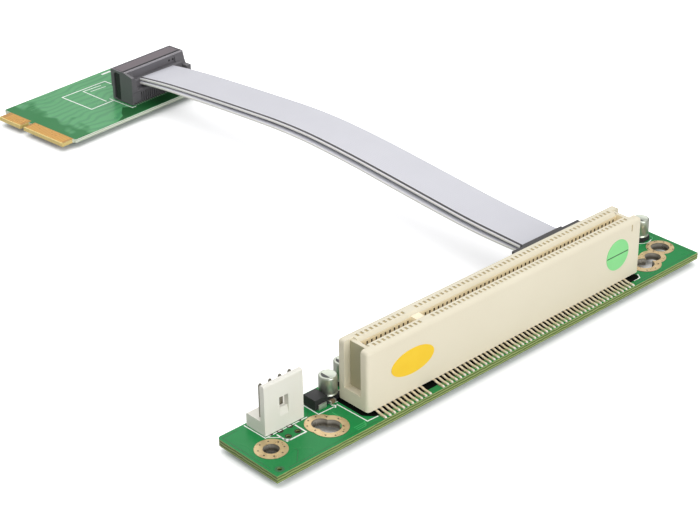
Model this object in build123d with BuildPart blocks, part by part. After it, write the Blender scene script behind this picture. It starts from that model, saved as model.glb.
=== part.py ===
from build123d import *
import os
from math import cos, radians, sin, tan

# Riser board with a card slot, and a small plug-in card that a two-layer ribbon cable joins to it.
# Millimetres, Z up. Each board has its own frame: the origin is the near left corner of its top face,
# x follows its length, y its width away from the viewer and z its thickness upwards.

# Riser board
riser_width = 18.3
riser_right_margin = 17.78
riser_thickness = 1.6
riser_corner_radius = 1.0
tail_reach = 1.3

# Plug-in card
card_length = 46.95
card_width = 30.0
card_thickness = 1.0
card_right = 61.86
card_away = 154.06
card_turn = 5.28
tongue_length = 4.0
tongue_start = 0.8
tongue_end = 27.3
tongue_notch_width = 1.5
tongue_notch_depth = 3.0
finger_pitch = 0.8
finger_width = 0.56
finger_length = 2.9
finger_inset = 0.35
finger_height = 0.06
long_fingers = 18
short_fingers = 8
finger_margin = 1.25
card_screw_hole = 2.6
card_screw_pad = 5.6
card_screw_inset = 2.9
card_corner_radius = 0.4

# Card slot
slot_left = 26.88
slot_near = 3.28
slot_width = 8.86
slot_height = 14.52
slot_standoff = 0.54
slot_edge_radius = 0.8
slot_foot_length = 1.7
channel_width = 1.8
channel_depth = 9.0
channel_bevel = 0.65
recess_width = 4.86
recess_depth = 1.7
recess_floor = 3.6
recess_radius = 0.7
contact_pitch = 1.27
contact_count = 62
contact_margin = 3.685
contact_width = 0.5
contact_thickness = 0.3
contact_drop = 1.3
key_after = 11
key_count = 2
key_width = 2.3
key_drop = 0.5
pocket_width = 0.45
pocket_length = 1.3
pocket_depth = 1.2
pocket_inset = 1.95
lead_shift = 1.5
lead_width = 0.5
lead_thickness = 0.26
lead_tuck = 0.6
lead_foot = 0.9
front_lead_reach = 2.98
rear_lead_reach = 1.9
peg_radius = 1.15
peg_inset = 6.0
groove_inset = 3.6
groove_width = 0.5
groove_depth = 0.35
groove_length = 2.3
dimple_width = 0.5
dimple_length = 1.2
dimple_inset = 1.4

slot_length = (contact_count - 1) * contact_pitch + 2 * contact_margin
slot_right = slot_left + slot_length
riser_length = slot_right + riser_right_margin

# Plated holes of the riser board: centre, opening radius and pad radius
plating = 0.1
left_hole = (5.23, 7.84)
left_hole_radius = 1.7
left_pad_radius = 3.45
left_key_small = (18.1, 7.7)
left_key_small_radius = 1.9
left_key_small_pad = 3.35
left_key_large = (18.9, 5.7)
left_key_large_radius = 2.35
left_key_large_pad = 3.9
right_key_small = (slot_right + 8.48, 5.9)
right_key_small_radius = 1.9
right_key_small_pad = 3.1
right_key_large = (slot_right + 4.68, 5.2)
right_key_large_radius = 2.3
right_key_large_pad = 3.9
right_hole = (slot_right + 13.38, 7.7)
right_hole_radius = 2.15
right_pad_radius = 3.3
tooling_hole = (2.04, 1.63)
tooling_hole_radius = 0.5
jumper_centre = (11.88, 10.2)
jumper_pitch = 2.54
jumper_hole_radius = 0.45

# Blank stickers on the front of the slot: centre along the slot and over the board, half sizes
sticker_thickness = 0.1
yellow_centre = (39.5, 7.72)
yellow_half_length = 6.05
yellow_half_height = 2.95
green_centre = (103.7, 7.86)
green_radius = 3.75

# Power header with a tall locking wall
header_left = 7.15
header_near = 11.85
header_length = 10.16
header_depth = 5.8
header_base_height = 3.0
header_wall_height = 11.5
header_wall_thickness = 1.3
header_window_width = 2.36
header_window_bottom = 4.66
header_window_top = 7.5
header_sill = 0.6
header_pitch = 2.54
header_pins = 4
header_pin_size = 0.64
header_pin_height = 10.8
header_pin_inset = 2.55
header_pin_point = 0.5
header_notch = 0.6

# Diode beside the header
diode_left = 20.3
diode_near = 11.8
diode_length = 3.7
diode_depth = 3.9
diode_height = 2.3
diode_lift = 0.15
diode_lead_width = 2.1
diode_lead_height = 1.2
diode_lead_thickness = 0.3

# Electrolytic cans, with the centres of the three of them
can_radius = 2.0
can_height = 5.4
can_base_size = 4.0
can_base_height = 0.9
can_base_corner = 0.8
can_shoulder = 0.35
can_to_lead = 2.995
first_lead = slot_left + contact_margin - lead_shift
can_centres = ((first_lead - can_to_lead, 14.24), (32.0, 16.2), (slot_right + 13.58, 14.0))
can_lead_width = 0.6
can_lead_reach = 0.5
can_lead_thickness = 0.15

# Ribbon cable: two flat layers, one over the other
ribbon_width = 12.8
ribbon_thickness = 0.8
ribbon_centre = 96.8
# The upper layer's centre line, as distance from the riser's near edge and height over the riser,
# from the card's clamp to the riser's clamp, and the gap to the lower layer at each of these points
ribbon_points = (
    (165.5, 5.3),
    (155.0, 7.0),
    (141.0, 8.4),
    (122.0, 10.2),
    (99.0, 11.9),
    (78.0, 11.4),
    (57.0, 9.7),
    (38.0, 8.4),
    (27.0, 8.05),
    (18.7, 7.85),
)
ribbon_gaps = (0.2, 0.2, 0.25, 0.4, 0.9, 1.25, 1.4, 1.4, 1.2, 0.3)

# Cable connectors on both boards
connector_length = 22.2
connector_height = 9.04
socket_height = 3.8
clamp_bevel = 0.3
clamp_clearance = 0.1

# Cable connector on the card
card_connector_left = 24.75
card_connector_near = 4.5
card_connector_depth = 8.6
plug_step = 3.1
plug_ledge = 4.2
post_length = 1.9
post_tip_length = 0.5
post_tip_drop = 0.84
post_bevel_low = 6.6
stop_length = 1.6
stop_height = 5.6
card_clamp_depth = 1.4
card_clamp_high = 6.6
strip_depth = 0.5
strip_wall = 0.35
strip_clearance = 0.1
end_channel_start = 5.1
end_channel_width = 2.4
end_channel_depth = 0.9
end_channel_low = 0.7
end_channel_high = 8.4
socket_setback = 0.3
socket_lift = 0.2
rib_pitch = 0.8
rib_count = 26
rib_gap = 0.35
rib_depth = 0.4
rib_height = 3.0
socket_lead_width = 0.3
socket_lead_reach = 0.35
socket_lead_clearance = 0.1
socket_lead_thickness = 0.2

# Cable connector on the riser
riser_connector_left = 86.25
riser_connector_near = 15.35
riser_connector_depth = 3.95
riser_connector_bevel = 0.84
riser_clamp_depth = 1.0
riser_clamp_low = 6.2
riser_clamp_high = 8.9
riser_clamp_margin = 0.3
tail_inset = 1.4
tail_pitch = 1.27
tail_count = 16
tail_size = 0.4

# Parts under the card
bridge_size = 14.0
bridge_height = 1.4
bridge_centre = (15.0, 15.0)
bridge_bevel = 0.25
bridge_lead_pitch = 0.8
bridge_leads_per_side = 16
bridge_lead_width = 0.35
bridge_lead_reach = 1.0
bridge_lead_thickness = 0.15
crystal_centre = (30.0, 22.0)
crystal_length = 5.0
crystal_width = 3.2
crystal_height = 1.0
chip_length = 1.6
chip_width = 0.8
chip_height = 0.7
chip_end = 0.3
card_chips = ((4.0, 6.5), (4.0, 23.5), (27.0, 8.5), (27.0, 12.0), (27.0, 15.5), (34.5, 14.0), (38.5, 14.0))
riser_chips = ((25.0, 11.85), (40.0, 16.6), (76.0, 16.6), (80.0, 16.6))

# Frame of the whole part: the middle of its outline stands over the origin, the lowest pieces on z = 0
overall_depth = (
    card_away
    + (card_length - card_corner_radius) * sin(radians(card_turn))
    + (card_width - card_corner_radius) * cos(radians(card_turn))
    + card_corner_radius
)
riser_top = tail_reach + riser_thickness
card_top = bridge_height + card_thickness
low_corner = (Align.MIN, Align.MIN)


def board_plane(right, away, top, turn):
    """Frame of a board whose near left corner lies right and away of the riser's near left corner."""
    origin = (right - riser_length / 2, away - overall_depth / 2, top)
    return Plane(origin=origin, x_dir=(cos(radians(turn)), sin(radians(turn)), 0))


def side(board, x):
    """Upright plane across a board at x: sketch x runs away over the width and sketch y runs up."""
    return Plane(origin=board.from_local_coords((x, 0, 0)), x_dir=board.y_dir, z_dir=board.x_dir)


def front(board, y):
    """Upright plane along a board at y, facing the near edge: sketch x runs along and sketch y up."""
    return Plane(origin=board.from_local_coords((0, y, 0)), x_dir=board.x_dir, z_dir=-board.y_dir)


riser = board_plane(0, 0, riser_top, 0)
card = board_plane(card_right, card_away, card_top, card_turn)
card_back = card.offset(-card_thickness)
riser_back = riser.offset(-riser_thickness)

plated_openings = (
    (left_hole, left_hole_radius),
    (left_key_small, left_key_small_radius),
    (left_key_large, left_key_large_radius),
    (right_key_small, right_key_small_radius),
    (right_key_large, right_key_large_radius),
    (right_hole, right_hole_radius),
)
plated_pads = (
    (left_hole, left_pad_radius),
    (left_key_small, left_key_small_pad),
    (left_key_large, left_key_large_pad),
    (right_key_small, right_key_small_pad),
    (right_key_large, right_key_large_pad),
    (right_hole, right_pad_radius),
)

slot_middle = slot_near + slot_width / 2
slot_far = slot_near + slot_width
contact_places = [
    slot_left + contact_margin + k * contact_pitch
    for k in range(contact_count)
    if not key_after <= k < key_after + key_count
]
key_centre = slot_left + contact_margin + (key_after + (key_count - 1) / 2) * contact_pitch
peg_places = [(slot_left + peg_inset, slot_middle), (slot_right - peg_inset, slot_middle)]
pin_row = header_near + header_pin_inset
pin_middle = header_left + header_length / 2
riser_connector_middle = riser_connector_left + connector_length / 2
riser_connector_far = riser_connector_near + riser_connector_depth
tail_row = riser_connector_near + tail_inset
card_connector_middle = card_connector_left + connector_length / 2
card_connector_far = card_connector_near + card_connector_depth
plug_step_face = card_connector_near + plug_step
socket_lead_tips = card_connector_near + socket_setback - socket_lead_reach
long_tongue_end = tongue_start + 2 * finger_margin + (long_fingers - 1) * finger_pitch
screw_holes = [
    (card_length - card_screw_inset, card_screw_inset),
    (card_length - card_screw_inset, card_width - card_screw_inset),
]

# Riser board with its holes; solder fills those of the header pins and of the connector tails
with BuildPart() as riser_board:
    with BuildSketch(riser_back) as riser_outline:
        Rectangle(riser_length, riser_width, align=low_corner)
        fillet(riser_outline.vertices().group_by(Axis.X)[0].sort_by(Axis.Y)[-1], riser_corner_radius)
        for centre, radius in plated_openings:
            with Locations(centre):
                Circle(radius + plating, mode=Mode.SUBTRACT)
        with Locations(tooling_hole):
            Circle(tooling_hole_radius, mode=Mode.SUBTRACT)
        with Locations(jumper_centre):
            with GridLocations(jumper_pitch, jumper_pitch, 2, 2):
                Circle(jumper_hole_radius, mode=Mode.SUBTRACT)
        with Locations((pin_middle, pin_row)):
            with GridLocations(header_pitch, 0, header_pins, 1):
                Rectangle(header_pin_size, header_pin_size, mode=Mode.SUBTRACT)
        with Locations(*peg_places):
            Circle(peg_radius, mode=Mode.SUBTRACT)
        with Locations((riser_connector_middle, tail_row)):
            with GridLocations(tail_pitch, 0, tail_count, 1):
                Rectangle(tail_size, tail_size, mode=Mode.SUBTRACT)
    extrude(amount=riser_thickness)
riser_board.part.label = "riser_board"


def openings(plane, grown):
    """The riser's plated openings on a plane, each grown by the same amount."""
    with BuildSketch(plane) as outline:
        for centre, radius in plated_openings:
            with Locations(centre):
                Circle(radius + grown)
    return outline.sketch


def pads(plane):
    """The riser's plated pads on a plane; pads that meet join into one."""
    with BuildSketch(plane) as outline:
        for centre, radius in plated_pads:
            with Locations(centre):
                Circle(radius)
    return outline.sketch


# Plating of the riser's screw holes: a pad on each face and a barrel through the board
with BuildPart() as plated_rings:
    extrude(pads(riser), amount=plating)
    extrude(pads(riser_back), amount=-plating)
    extrude(openings(riser_back, plating), amount=riser_thickness)
    plated_through = openings(riser_back.offset(-plating), 0)
    extrude(plated_through, amount=riser_thickness + 2 * plating, mode=Mode.SUBTRACT)
plated_rings.part.label = "plated_rings"

# Slot housing: a rounded block on end feet, with the card channel, contact pockets and end recesses
with BuildPart() as slot_housing:
    with BuildSketch(riser.offset(slot_standoff)):
        with Locations((slot_left, slot_near)):
            Rectangle(slot_length, slot_width, align=low_corner)
    extrude(amount=slot_height - slot_standoff)
    fillet(slot_housing.edges().filter_by(Axis.Z), slot_edge_radius)
    fillet(slot_housing.faces().sort_by(Axis.Z)[-1].edges(), slot_edge_radius)
    # Feet under both ends, and pegs that go through the board
    with BuildSketch(riser):
        with Locations((slot_left + slot_edge_radius, slot_middle)):
            Rectangle(slot_foot_length, slot_width - 2 * slot_edge_radius, align=(Align.MIN, Align.CENTER))
        with Locations((slot_right - slot_edge_radius, slot_middle)):
            Rectangle(slot_foot_length, slot_width - 2 * slot_edge_radius, align=(Align.MAX, Align.CENTER))
    extrude(amount=slot_standoff)
    with BuildSketch(riser.offset(slot_standoff)):
        with Locations(*peg_places):
            Circle(peg_radius)
    extrude(amount=-(slot_standoff + riser_thickness + tail_reach))
    # Card channel with bevelled lips, cut through both ends
    with BuildSketch(side(riser, slot_left)):
        with BuildLine():
            Polyline(
                (slot_middle - channel_width / 2 - channel_bevel, slot_height),
                (slot_middle - channel_width / 2, slot_height - channel_bevel),
                (slot_middle - channel_width / 2, slot_height - channel_depth),
                (slot_middle + channel_width / 2, slot_height - channel_depth),
                (slot_middle + channel_width / 2, slot_height - channel_bevel),
                (slot_middle + channel_width / 2 + channel_bevel, slot_height),
                close=True,
            )
        make_face()
    extrude(amount=slot_length, mode=Mode.SUBTRACT)
    # Rib across the channel that keys the card
    with BuildSketch(side(riser, key_centre)):
        with Locations((slot_middle, slot_height - channel_depth)):
            Rectangle(channel_width, channel_depth - key_drop, align=(Align.CENTER, Align.MIN))
    extrude(amount=key_width / 2, both=True)
    # Recess in each end face, open at the top
    for end, into in ((slot_left, 1), (slot_right, -1)):
        with BuildSketch(side(riser, end)) as end_recess:
            with Locations((slot_middle, recess_floor)):
                Rectangle(recess_width, slot_height, align=(Align.CENTER, Align.MIN))
            fillet(end_recess.vertices().group_by(Axis.Y)[0], recess_radius)
        extrude(amount=into * recess_depth, mode=Mode.SUBTRACT)
    # Pockets beside the channel, one over each contact
    with BuildSketch(riser.offset(slot_height)):
        for row in (slot_near + pocket_inset, slot_far - pocket_inset):
            with Locations(*[(x, row) for x in contact_places]):
                Rectangle(pocket_width, pocket_length)
    extrude(amount=-pocket_depth, mode=Mode.SUBTRACT)
    # Groove down the front near the right end, and a dimple in the top beside it
    with BuildSketch(front(riser, slot_near)):
        with Locations((slot_right - groove_inset, slot_height)):
            Rectangle(groove_width, groove_length, align=(Align.CENTER, Align.MAX))
    extrude(amount=-groove_depth, mode=Mode.SUBTRACT)
    with BuildSketch(riser.offset(slot_height)):
        with Locations((slot_right - dimple_inset, slot_near + (slot_width - recess_width) / 4)):
            Rectangle(dimple_width, dimple_length)
    extrude(amount=-dimple_width, mode=Mode.SUBTRACT)
slot_housing.part.label = "slot_housing"


def contact_feet(wall, towards):
    """Feet of the contacts against one wall of the channel, on its floor."""
    with BuildSketch(riser.offset(slot_height - channel_depth)) as feet:
        with Locations(*[(place, wall + towards * contact_thickness / 2) for place in contact_places]):
            Rectangle(contact_width, contact_thickness)
    return feet.sketch


# Contacts in the channel: upright strips from its floor to just under its lips
with BuildPart() as slot_contacts_front:
    extrude(contact_feet(slot_middle - channel_width / 2, 1), amount=channel_depth - contact_drop)
slot_contacts_front.part.label = "slot_contacts_front"

with BuildPart() as slot_contacts_rear:
    extrude(contact_feet(slot_middle + channel_width / 2, -1), amount=channel_depth - contact_drop)
slot_contacts_rear.part.label = "slot_contacts_rear"


def slot_lead(face, outwards, reach):
    """One lead of the slot: tucked against the underside at a long side, then down to a flat foot."""
    with BuildSketch(side(riser, -lead_shift - lead_width / 2)) as section:
        with BuildLine():
            Polyline(
                (face - outwards * lead_tuck, slot_standoff),
                (face + outwards * lead_thickness, slot_standoff),
                (face + outwards * reach, lead_thickness / 2),
                (face + outwards * reach, 0),
                (face + outwards * (reach - lead_foot), 0),
                (face - outwards * lead_tuck, slot_standoff - lead_thickness),
                close=True,
            )
        make_face()
    return extrude(section.sketch, amount=lead_width)


front_lead = slot_lead(slot_near, -1, front_lead_reach)
rear_lead = slot_lead(slot_far, 1, rear_lead_reach)

# Leads along the front of the slot
with BuildPart() as slot_leads_front:
    with Locations(*[(place, 0) for place in contact_places]):
        add(front_lead)
slot_leads_front.part.label = "slot_leads_front"

# Leads along the rear of the slot
with BuildPart() as slot_leads_rear:
    with Locations(*[(place, 0) for place in contact_places]):
        add(rear_lead)
slot_leads_rear.part.label = "slot_leads_rear"

# Stickers on the front of the slot
with BuildPart() as yellow_sticker:
    with BuildSketch(front(riser, slot_near)):
        with Locations(yellow_centre):
            Ellipse(yellow_half_length, yellow_half_height)
    extrude(amount=sticker_thickness)
yellow_sticker.part.label = "yellow_sticker"

with BuildPart() as green_sticker:
    with BuildSketch(front(riser, slot_near)):
        with Locations(green_centre):
            Circle(green_radius)
    extrude(amount=sticker_thickness)
green_sticker.part.label = "green_sticker"

# Power header: a low base and a tall wall with a locking window
with BuildPart() as power_header_housing:
    with BuildSketch(riser):
        with Locations((header_left, header_near)):
            Rectangle(header_length, header_depth, align=low_corner)
    extrude(amount=header_base_height)
    with BuildSketch(riser):
        with Locations((header_left, header_near)):
            Rectangle(header_length, header_wall_thickness, align=low_corner)
    extrude(amount=header_wall_height)
    # Window whose sill slopes out to the front face
    with BuildSketch(side(riser, pin_middle)):
        with BuildLine():
            Polyline(
                (header_near, header_sill),
                (header_near, header_window_top),
                (header_near + header_wall_thickness, header_window_top),
                (header_near + header_wall_thickness, header_window_bottom),
                close=True,
            )
        make_face()
    extrude(amount=header_window_width / 2, both=True, mode=Mode.SUBTRACT)
    # Notches at the back of the wall, at both ends of the base
    with BuildSketch(riser.offset(header_base_height)):
        for end in (header_left, header_left + header_length):
            with Locations((end, header_near + header_wall_thickness + header_notch / 2)):
                Rectangle(2 * header_notch, header_notch)
    extrude(amount=-header_notch, mode=Mode.SUBTRACT)
    with BuildSketch(riser):
        with Locations((pin_middle, pin_row)):
            with GridLocations(header_pitch, 0, header_pins, 1):
                Rectangle(header_pin_size, header_pin_size)
    extrude(amount=header_base_height, mode=Mode.SUBTRACT)
power_header_housing.part.label = "power_header_housing"

# Header pins, pointed at the top, with tails through the board
with BuildPart() as power_header_pins:
    with BuildSketch(riser_back.offset(-tail_reach)):
        with Locations((pin_middle, pin_row)):
            with GridLocations(header_pitch, 0, header_pins, 1):
                Rectangle(header_pin_size, header_pin_size)
    extrude(amount=tail_reach + riser_thickness + header_pin_height)
    pin_tops = power_header_pins.faces().group_by(Axis.Z)[-1]
    chamfer(pin_tops.edges(), length=header_pin_point, length2=header_pin_size / 4)
power_header_pins.part.label = "power_header_pins"

# Diode body, narrower at the top, and its folded leads
with BuildPart() as diode_body:
    with BuildSketch(riser.offset(diode_lift)):
        with Locations((diode_left, diode_near)):
            Rectangle(diode_length, diode_depth, align=low_corner)
    extrude(amount=diode_height - diode_lift, taper=5)
diode_body.part.label = "diode_body"

with BuildPart() as diode_leads:
    for edge, outwards in ((diode_near, -1), (diode_near + diode_depth, 1)):
        with BuildSketch(side(riser, diode_left + diode_length / 2)):
            with BuildLine():
                Polyline(
                    (edge - outwards * diode_lead_height, 0),
                    (edge + outwards * diode_lead_thickness, 0),
                    (edge + outwards * diode_lead_thickness, diode_lead_height),
                    (edge, diode_lead_height),
                    (edge, diode_lift),
                    (edge - outwards * diode_lead_height, diode_lift),
                    close=True,
                )
            make_face()
        extrude(amount=diode_lead_width / 2, both=True)
diode_leads.part.label = "diode_leads"

# Cans: turned-in shoulder at the top, each on a moulded base with two flat leads
with BuildPart() as capacitor_bases:
    with BuildSketch(riser) as can_base:
        with Locations(*can_centres):
            Rectangle(can_base_size, can_base_size)
        chamfer(can_base.vertices().group_by(Axis.Y)[0], can_base_corner)
    extrude(amount=can_base_height)
capacitor_bases.part.label = "capacitor_bases"

with BuildPart() as capacitor_cans:
    with BuildSketch(riser.offset(can_base_height)):
        with Locations(*can_centres):
            Circle(can_radius)
    extrude(amount=can_height - can_base_height)
    chamfer(capacitor_cans.faces().group_by(Axis.Z)[-1].edges(), can_shoulder)
capacitor_cans.part.label = "capacitor_cans"

with BuildPart() as capacitor_leads:
    with BuildSketch(riser):
        for centre in can_centres:
            with Locations((centre[0] - can_base_size / 2, centre[1])):
                Rectangle(can_lead_reach, can_lead_width, align=(Align.MAX, Align.CENTER))
            with Locations((centre[0] + can_base_size / 2, centre[1])):
                Rectangle(can_lead_reach, can_lead_width, align=(Align.MIN, Align.CENTER))
    extrude(amount=can_lead_thickness)
capacitor_leads.part.label = "capacitor_leads"


def chip_bodies(face, places):
    """Outlines of the chip parts' ceramic bodies at these places on one face of a board."""
    with BuildSketch(face) as outline:
        with Locations(*places):
            Rectangle(chip_length - 2 * chip_end, chip_width)
    return outline.sketch


def chip_ends(face, places):
    """Outlines of the same chip parts' metal end caps."""
    with BuildSketch(face) as outline:
        with Locations(*places):
            with GridLocations(chip_length - chip_end, 0, 2, 1):
                Rectangle(chip_end, chip_width)
    return outline.sketch


# Chip parts on the riser
with BuildPart() as riser_chip_bodies:
    extrude(chip_bodies(riser, riser_chips), amount=chip_height)
riser_chip_bodies.part.label = "riser_chip_bodies"

with BuildPart() as riser_chip_ends:
    extrude(chip_ends(riser, riser_chips), amount=chip_height)
riser_chip_ends.part.label = "riser_chip_ends"

# Cable connector on the riser: a slim body whose top falls towards the slot, and its pins
with BuildPart() as riser_cable_body:
    with BuildSketch(side(riser, riser_connector_left)):
        with BuildLine():
            Polyline(
                (riser_connector_near, 0),
                (riser_connector_far, 0),
                (riser_connector_far, connector_height),
                (riser_connector_near + riser_connector_bevel, connector_height),
                (riser_connector_near, connector_height - riser_connector_bevel),
                close=True,
            )
        make_face()
    extrude(amount=connector_length)
riser_cable_body.part.label = "riser_cable_body"

with BuildPart() as riser_cable_tails:
    with BuildSketch(riser):
        with Locations((riser_connector_middle, tail_row)):
            with GridLocations(tail_pitch, 0, tail_count, 1):
                Rectangle(tail_size, tail_size)
    extrude(amount=-(riser_thickness + tail_reach))
riser_cable_tails.part.label = "riser_cable_tails"


def clamp_section(board, left, near, far, low, high):
    """Section of a cable clamp that reaches from near to far, its upper edge bevelled at far."""
    towards = 1 if far > near else -1
    with BuildSketch(side(board, left)) as section:
        with BuildLine():
            Polyline(
                (near, low),
                (far, low),
                (far, high - clamp_bevel),
                (far - towards * clamp_bevel, high),
                (near, high),
                close=True,
            )
        make_face()
    return section.sketch


# Clamp on the rear of the riser's connector, a little longer than the cable is wide
with BuildPart() as riser_cable_clamp:
    extrude(
        clamp_section(
            riser,
            ribbon_centre - ribbon_width / 2 - riser_clamp_margin,
            riser_connector_far,
            riser_connector_far + riser_clamp_depth,
            riser_clamp_low,
            riser_clamp_high,
        ),
        amount=ribbon_width + 2 * riser_clamp_margin,
    )
riser_cable_clamp.part.label = "riser_cable_clamp"

# Plug-in card: a board with an edge tongue, its key notch and two screw holes
with BuildPart() as card_board:
    with BuildSketch(card_back) as card_outline:
        Rectangle(card_length, card_width, align=low_corner)
        fillet(card_outline.vertices(), card_corner_radius)
        with Locations((0, tongue_start)):
            Rectangle(tongue_length, tongue_end - tongue_start, align=(Align.MAX, Align.MIN))
        with Locations((-tongue_length, long_tongue_end)):
            Rectangle(tongue_notch_depth, tongue_notch_width, align=low_corner, mode=Mode.SUBTRACT)
        with Locations(*screw_holes):
            Circle(card_screw_hole / 2, mode=Mode.SUBTRACT)
    extrude(amount=card_thickness)
card_board.part.label = "card_board"

# Solder pads round the card's screw holes, on both faces
with BuildPart() as card_screw_rings:
    with BuildSketch(card):
        with Locations(*screw_holes):
            Circle(card_screw_pad / 2)
        # The pads stop short of the socket's leads
        with Locations((card_length, socket_lead_tips - socket_lead_clearance)):
            Rectangle(card_screw_pad, card_connector_depth, align=(Align.MAX, Align.MIN), mode=Mode.SUBTRACT)
        with Locations(*screw_holes):
            Circle(card_screw_hole / 2, mode=Mode.SUBTRACT)
    extrude(amount=plating)
    with BuildSketch(card_back):
        with Locations(*screw_holes):
            Circle(card_screw_pad / 2)
            Circle(card_screw_hole / 2, mode=Mode.SUBTRACT)
    extrude(amount=-plating)
card_screw_rings.part.label = "card_screw_rings"


def fingers(face):
    """Contact places on one face of the tongue: a long group, the notch and a short group."""
    first = tongue_start + finger_margin
    second = long_tongue_end + tongue_notch_width + finger_margin
    rows = [first + k * finger_pitch for k in range(long_fingers)]
    rows += [second + k * finger_pitch for k in range(short_fingers)]
    with BuildSketch(face) as outline:
        with Locations(*[(finger_inset - tongue_length, row) for row in rows]):
            Rectangle(finger_length, finger_width, align=(Align.MIN, Align.CENTER))
    return outline.sketch


# Gold contacts on both faces of the tongue
with BuildPart() as edge_fingers_top:
    extrude(fingers(card), amount=finger_height)
edge_fingers_top.part.label = "edge_fingers_top"

with BuildPart() as edge_fingers_bottom:
    extrude(fingers(card_back), amount=-finger_height)
edge_fingers_bottom.part.label = "edge_fingers_bottom"

# Socket on the card: a low housing with upright ribs along both long sides
with BuildPart() as card_socket_body:
    with BuildSketch(card.offset(socket_lift)):
        with Locations((card_connector_left, card_connector_near + socket_setback)):
            Rectangle(connector_length, card_connector_depth - 2 * socket_setback, align=low_corner)
    extrude(amount=socket_height - socket_lift)
    with BuildSketch(card.offset(socket_lift)):
        for face in (card_connector_near + socket_setback, card_connector_far - socket_setback):
            with Locations((card_connector_middle, face)):
                with GridLocations(rib_pitch, 0, rib_count, 1):
                    Rectangle(rib_gap, 2 * rib_depth)
    extrude(amount=rib_height, mode=Mode.SUBTRACT)
    # Channel in the left end, which the plug above continues
    with BuildSketch(side(card, card_connector_left)):
        with Locations((card_connector_near + end_channel_start, end_channel_low)):
            Rectangle(end_channel_width, socket_height, align=low_corner)
    extrude(amount=end_channel_depth, mode=Mode.SUBTRACT)
card_socket_body.part.label = "card_socket_body"

# Leads of the socket, flat on the card in the gaps between its ribs and out to both sides
with BuildPart() as card_socket_leads:
    with BuildSketch(card):
        for face, outwards in (
            (card_connector_near + socket_setback, -1),
            (card_connector_far - socket_setback, 1),
        ):
            with Locations((card_connector_middle, face + outwards * (socket_lead_reach - rib_depth) / 2)):
                with GridLocations(rib_pitch, 0, rib_count, 1):
                    Rectangle(socket_lead_width, socket_lead_reach + rib_depth)
    extrude(amount=socket_lead_thickness)
card_socket_leads.part.label = "card_socket_leads"

# Plug on the cable: a tall rear with a tray for the cover strip, and a ledge in front for the cable
with BuildPart() as card_plug_body:
    with BuildSketch(side(card, card_connector_left)):
        with BuildLine():
            Polyline(
                (card_connector_near, socket_height),
                (card_connector_far, socket_height),
                (card_connector_far, connector_height),
                (plug_step_face, connector_height),
                (plug_step_face, plug_ledge),
                (card_connector_near, plug_ledge),
                close=True,
            )
        make_face()
    extrude(amount=connector_length)
    # Post at the left end of the ledge: its top falls to the front and its inner side is bevelled
    with BuildSketch(side(card, card_connector_left)):
        with BuildLine():
            Polyline(
                (card_connector_near, plug_ledge),
                (plug_step_face, plug_ledge),
                (plug_step_face, connector_height),
                (card_connector_near, connector_height - post_tip_drop),
                close=True,
            )
        make_face()
    extrude(amount=post_length)
    with BuildSketch(front(card, card_connector_near)):
        with BuildLine():
            Polyline(
                (card_connector_left + post_tip_length, connector_height),
                (card_connector_left + post_length, connector_height),
                (card_connector_left + post_length, post_bevel_low),
                close=True,
            )
        make_face()
    extrude(amount=-plug_step, mode=Mode.SUBTRACT)
    # Low stop at the right end of the ledge
    with BuildSketch(card.offset(plug_ledge)):
        with Locations((card_connector_left + connector_length, card_connector_near)):
            Rectangle(stop_length, plug_step, align=(Align.MAX, Align.MIN))
    extrude(amount=stop_height - plug_ledge)
    # Tray for the cover strip
    with BuildSketch(card.offset(connector_height)):
        with Locations((card_connector_middle, plug_step_face + strip_wall)):
            Rectangle(
                connector_length - 2 * strip_wall,
                card_connector_depth - plug_step - 2 * strip_wall,
                align=(Align.CENTER, Align.MIN),
            )
    extrude(amount=-strip_depth, mode=Mode.SUBTRACT)
    # Upper end of the channel in the left end, with a round top
    with BuildSketch(side(card, card_connector_left)) as end_channel:
        with Locations((card_connector_near + end_channel_start, socket_height)):
            Rectangle(end_channel_width, end_channel_high - socket_height, align=low_corner)
        fillet(end_channel.vertices().group_by(Axis.Y)[-1], end_channel_width * 0.45)
    extrude(amount=end_channel_depth, mode=Mode.SUBTRACT)
card_plug_body.part.label = "card_plug_body"

# Pale strip that lies in the plug's tray
with BuildPart() as card_cover_strip:
    with BuildSketch(card.offset(connector_height - strip_depth)):
        with Locations((card_connector_middle, plug_step_face + strip_wall + strip_clearance)):
            Rectangle(
                connector_length - 2 * (strip_wall + strip_clearance),
                card_connector_depth - plug_step - 2 * (strip_wall + strip_clearance),
                align=(Align.CENTER, Align.MIN),
            )
    extrude(amount=strip_depth - strip_clearance)
card_cover_strip.part.label = "card_cover_strip"

# Clamp on the plug's ledge, between the post and the stop
with BuildPart() as card_cable_clamp:
    extrude(
        clamp_section(
            card,
            card_connector_left + post_length + clamp_clearance,
            plug_step_face,
            plug_step_face - card_clamp_depth,
            plug_ledge,
            card_clamp_high,
        ),
        amount=connector_length - post_length - stop_length - 2 * clamp_clearance,
    )
card_cable_clamp.part.label = "card_cable_clamp"


def ribbon_radii(points):
    """Bend radii at the inner points: as large as the two runs beside each point allow."""
    radii = []
    for before, here, after in zip(points, points[1:], points[2:]):
        run_in = Vector(*here) - Vector(*before)
        run_out = Vector(*after) - Vector(*here)
        turn = radians(run_in.get_angle(run_out))
        radii.append(0.45 * min(run_in.length, run_out.length) / tan(turn / 2))
    return radii


def ribbon_route(points):
    """Centre line of one layer of the cable: straight runs joined by tangent arcs."""
    with BuildLine(side(riser, ribbon_centre)) as route:
        FilletPolyline(*points, radius=ribbon_radii(points))
    return route.line


def ribbon_section(route):
    """Flat section of one layer, square to the start of its route."""
    with BuildSketch(Plane(origin=route @ 0, x_dir=riser.x_dir, z_dir=route % 0)) as section:
        Rectangle(ribbon_width, ribbon_thickness)
    return section.sketch


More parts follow.
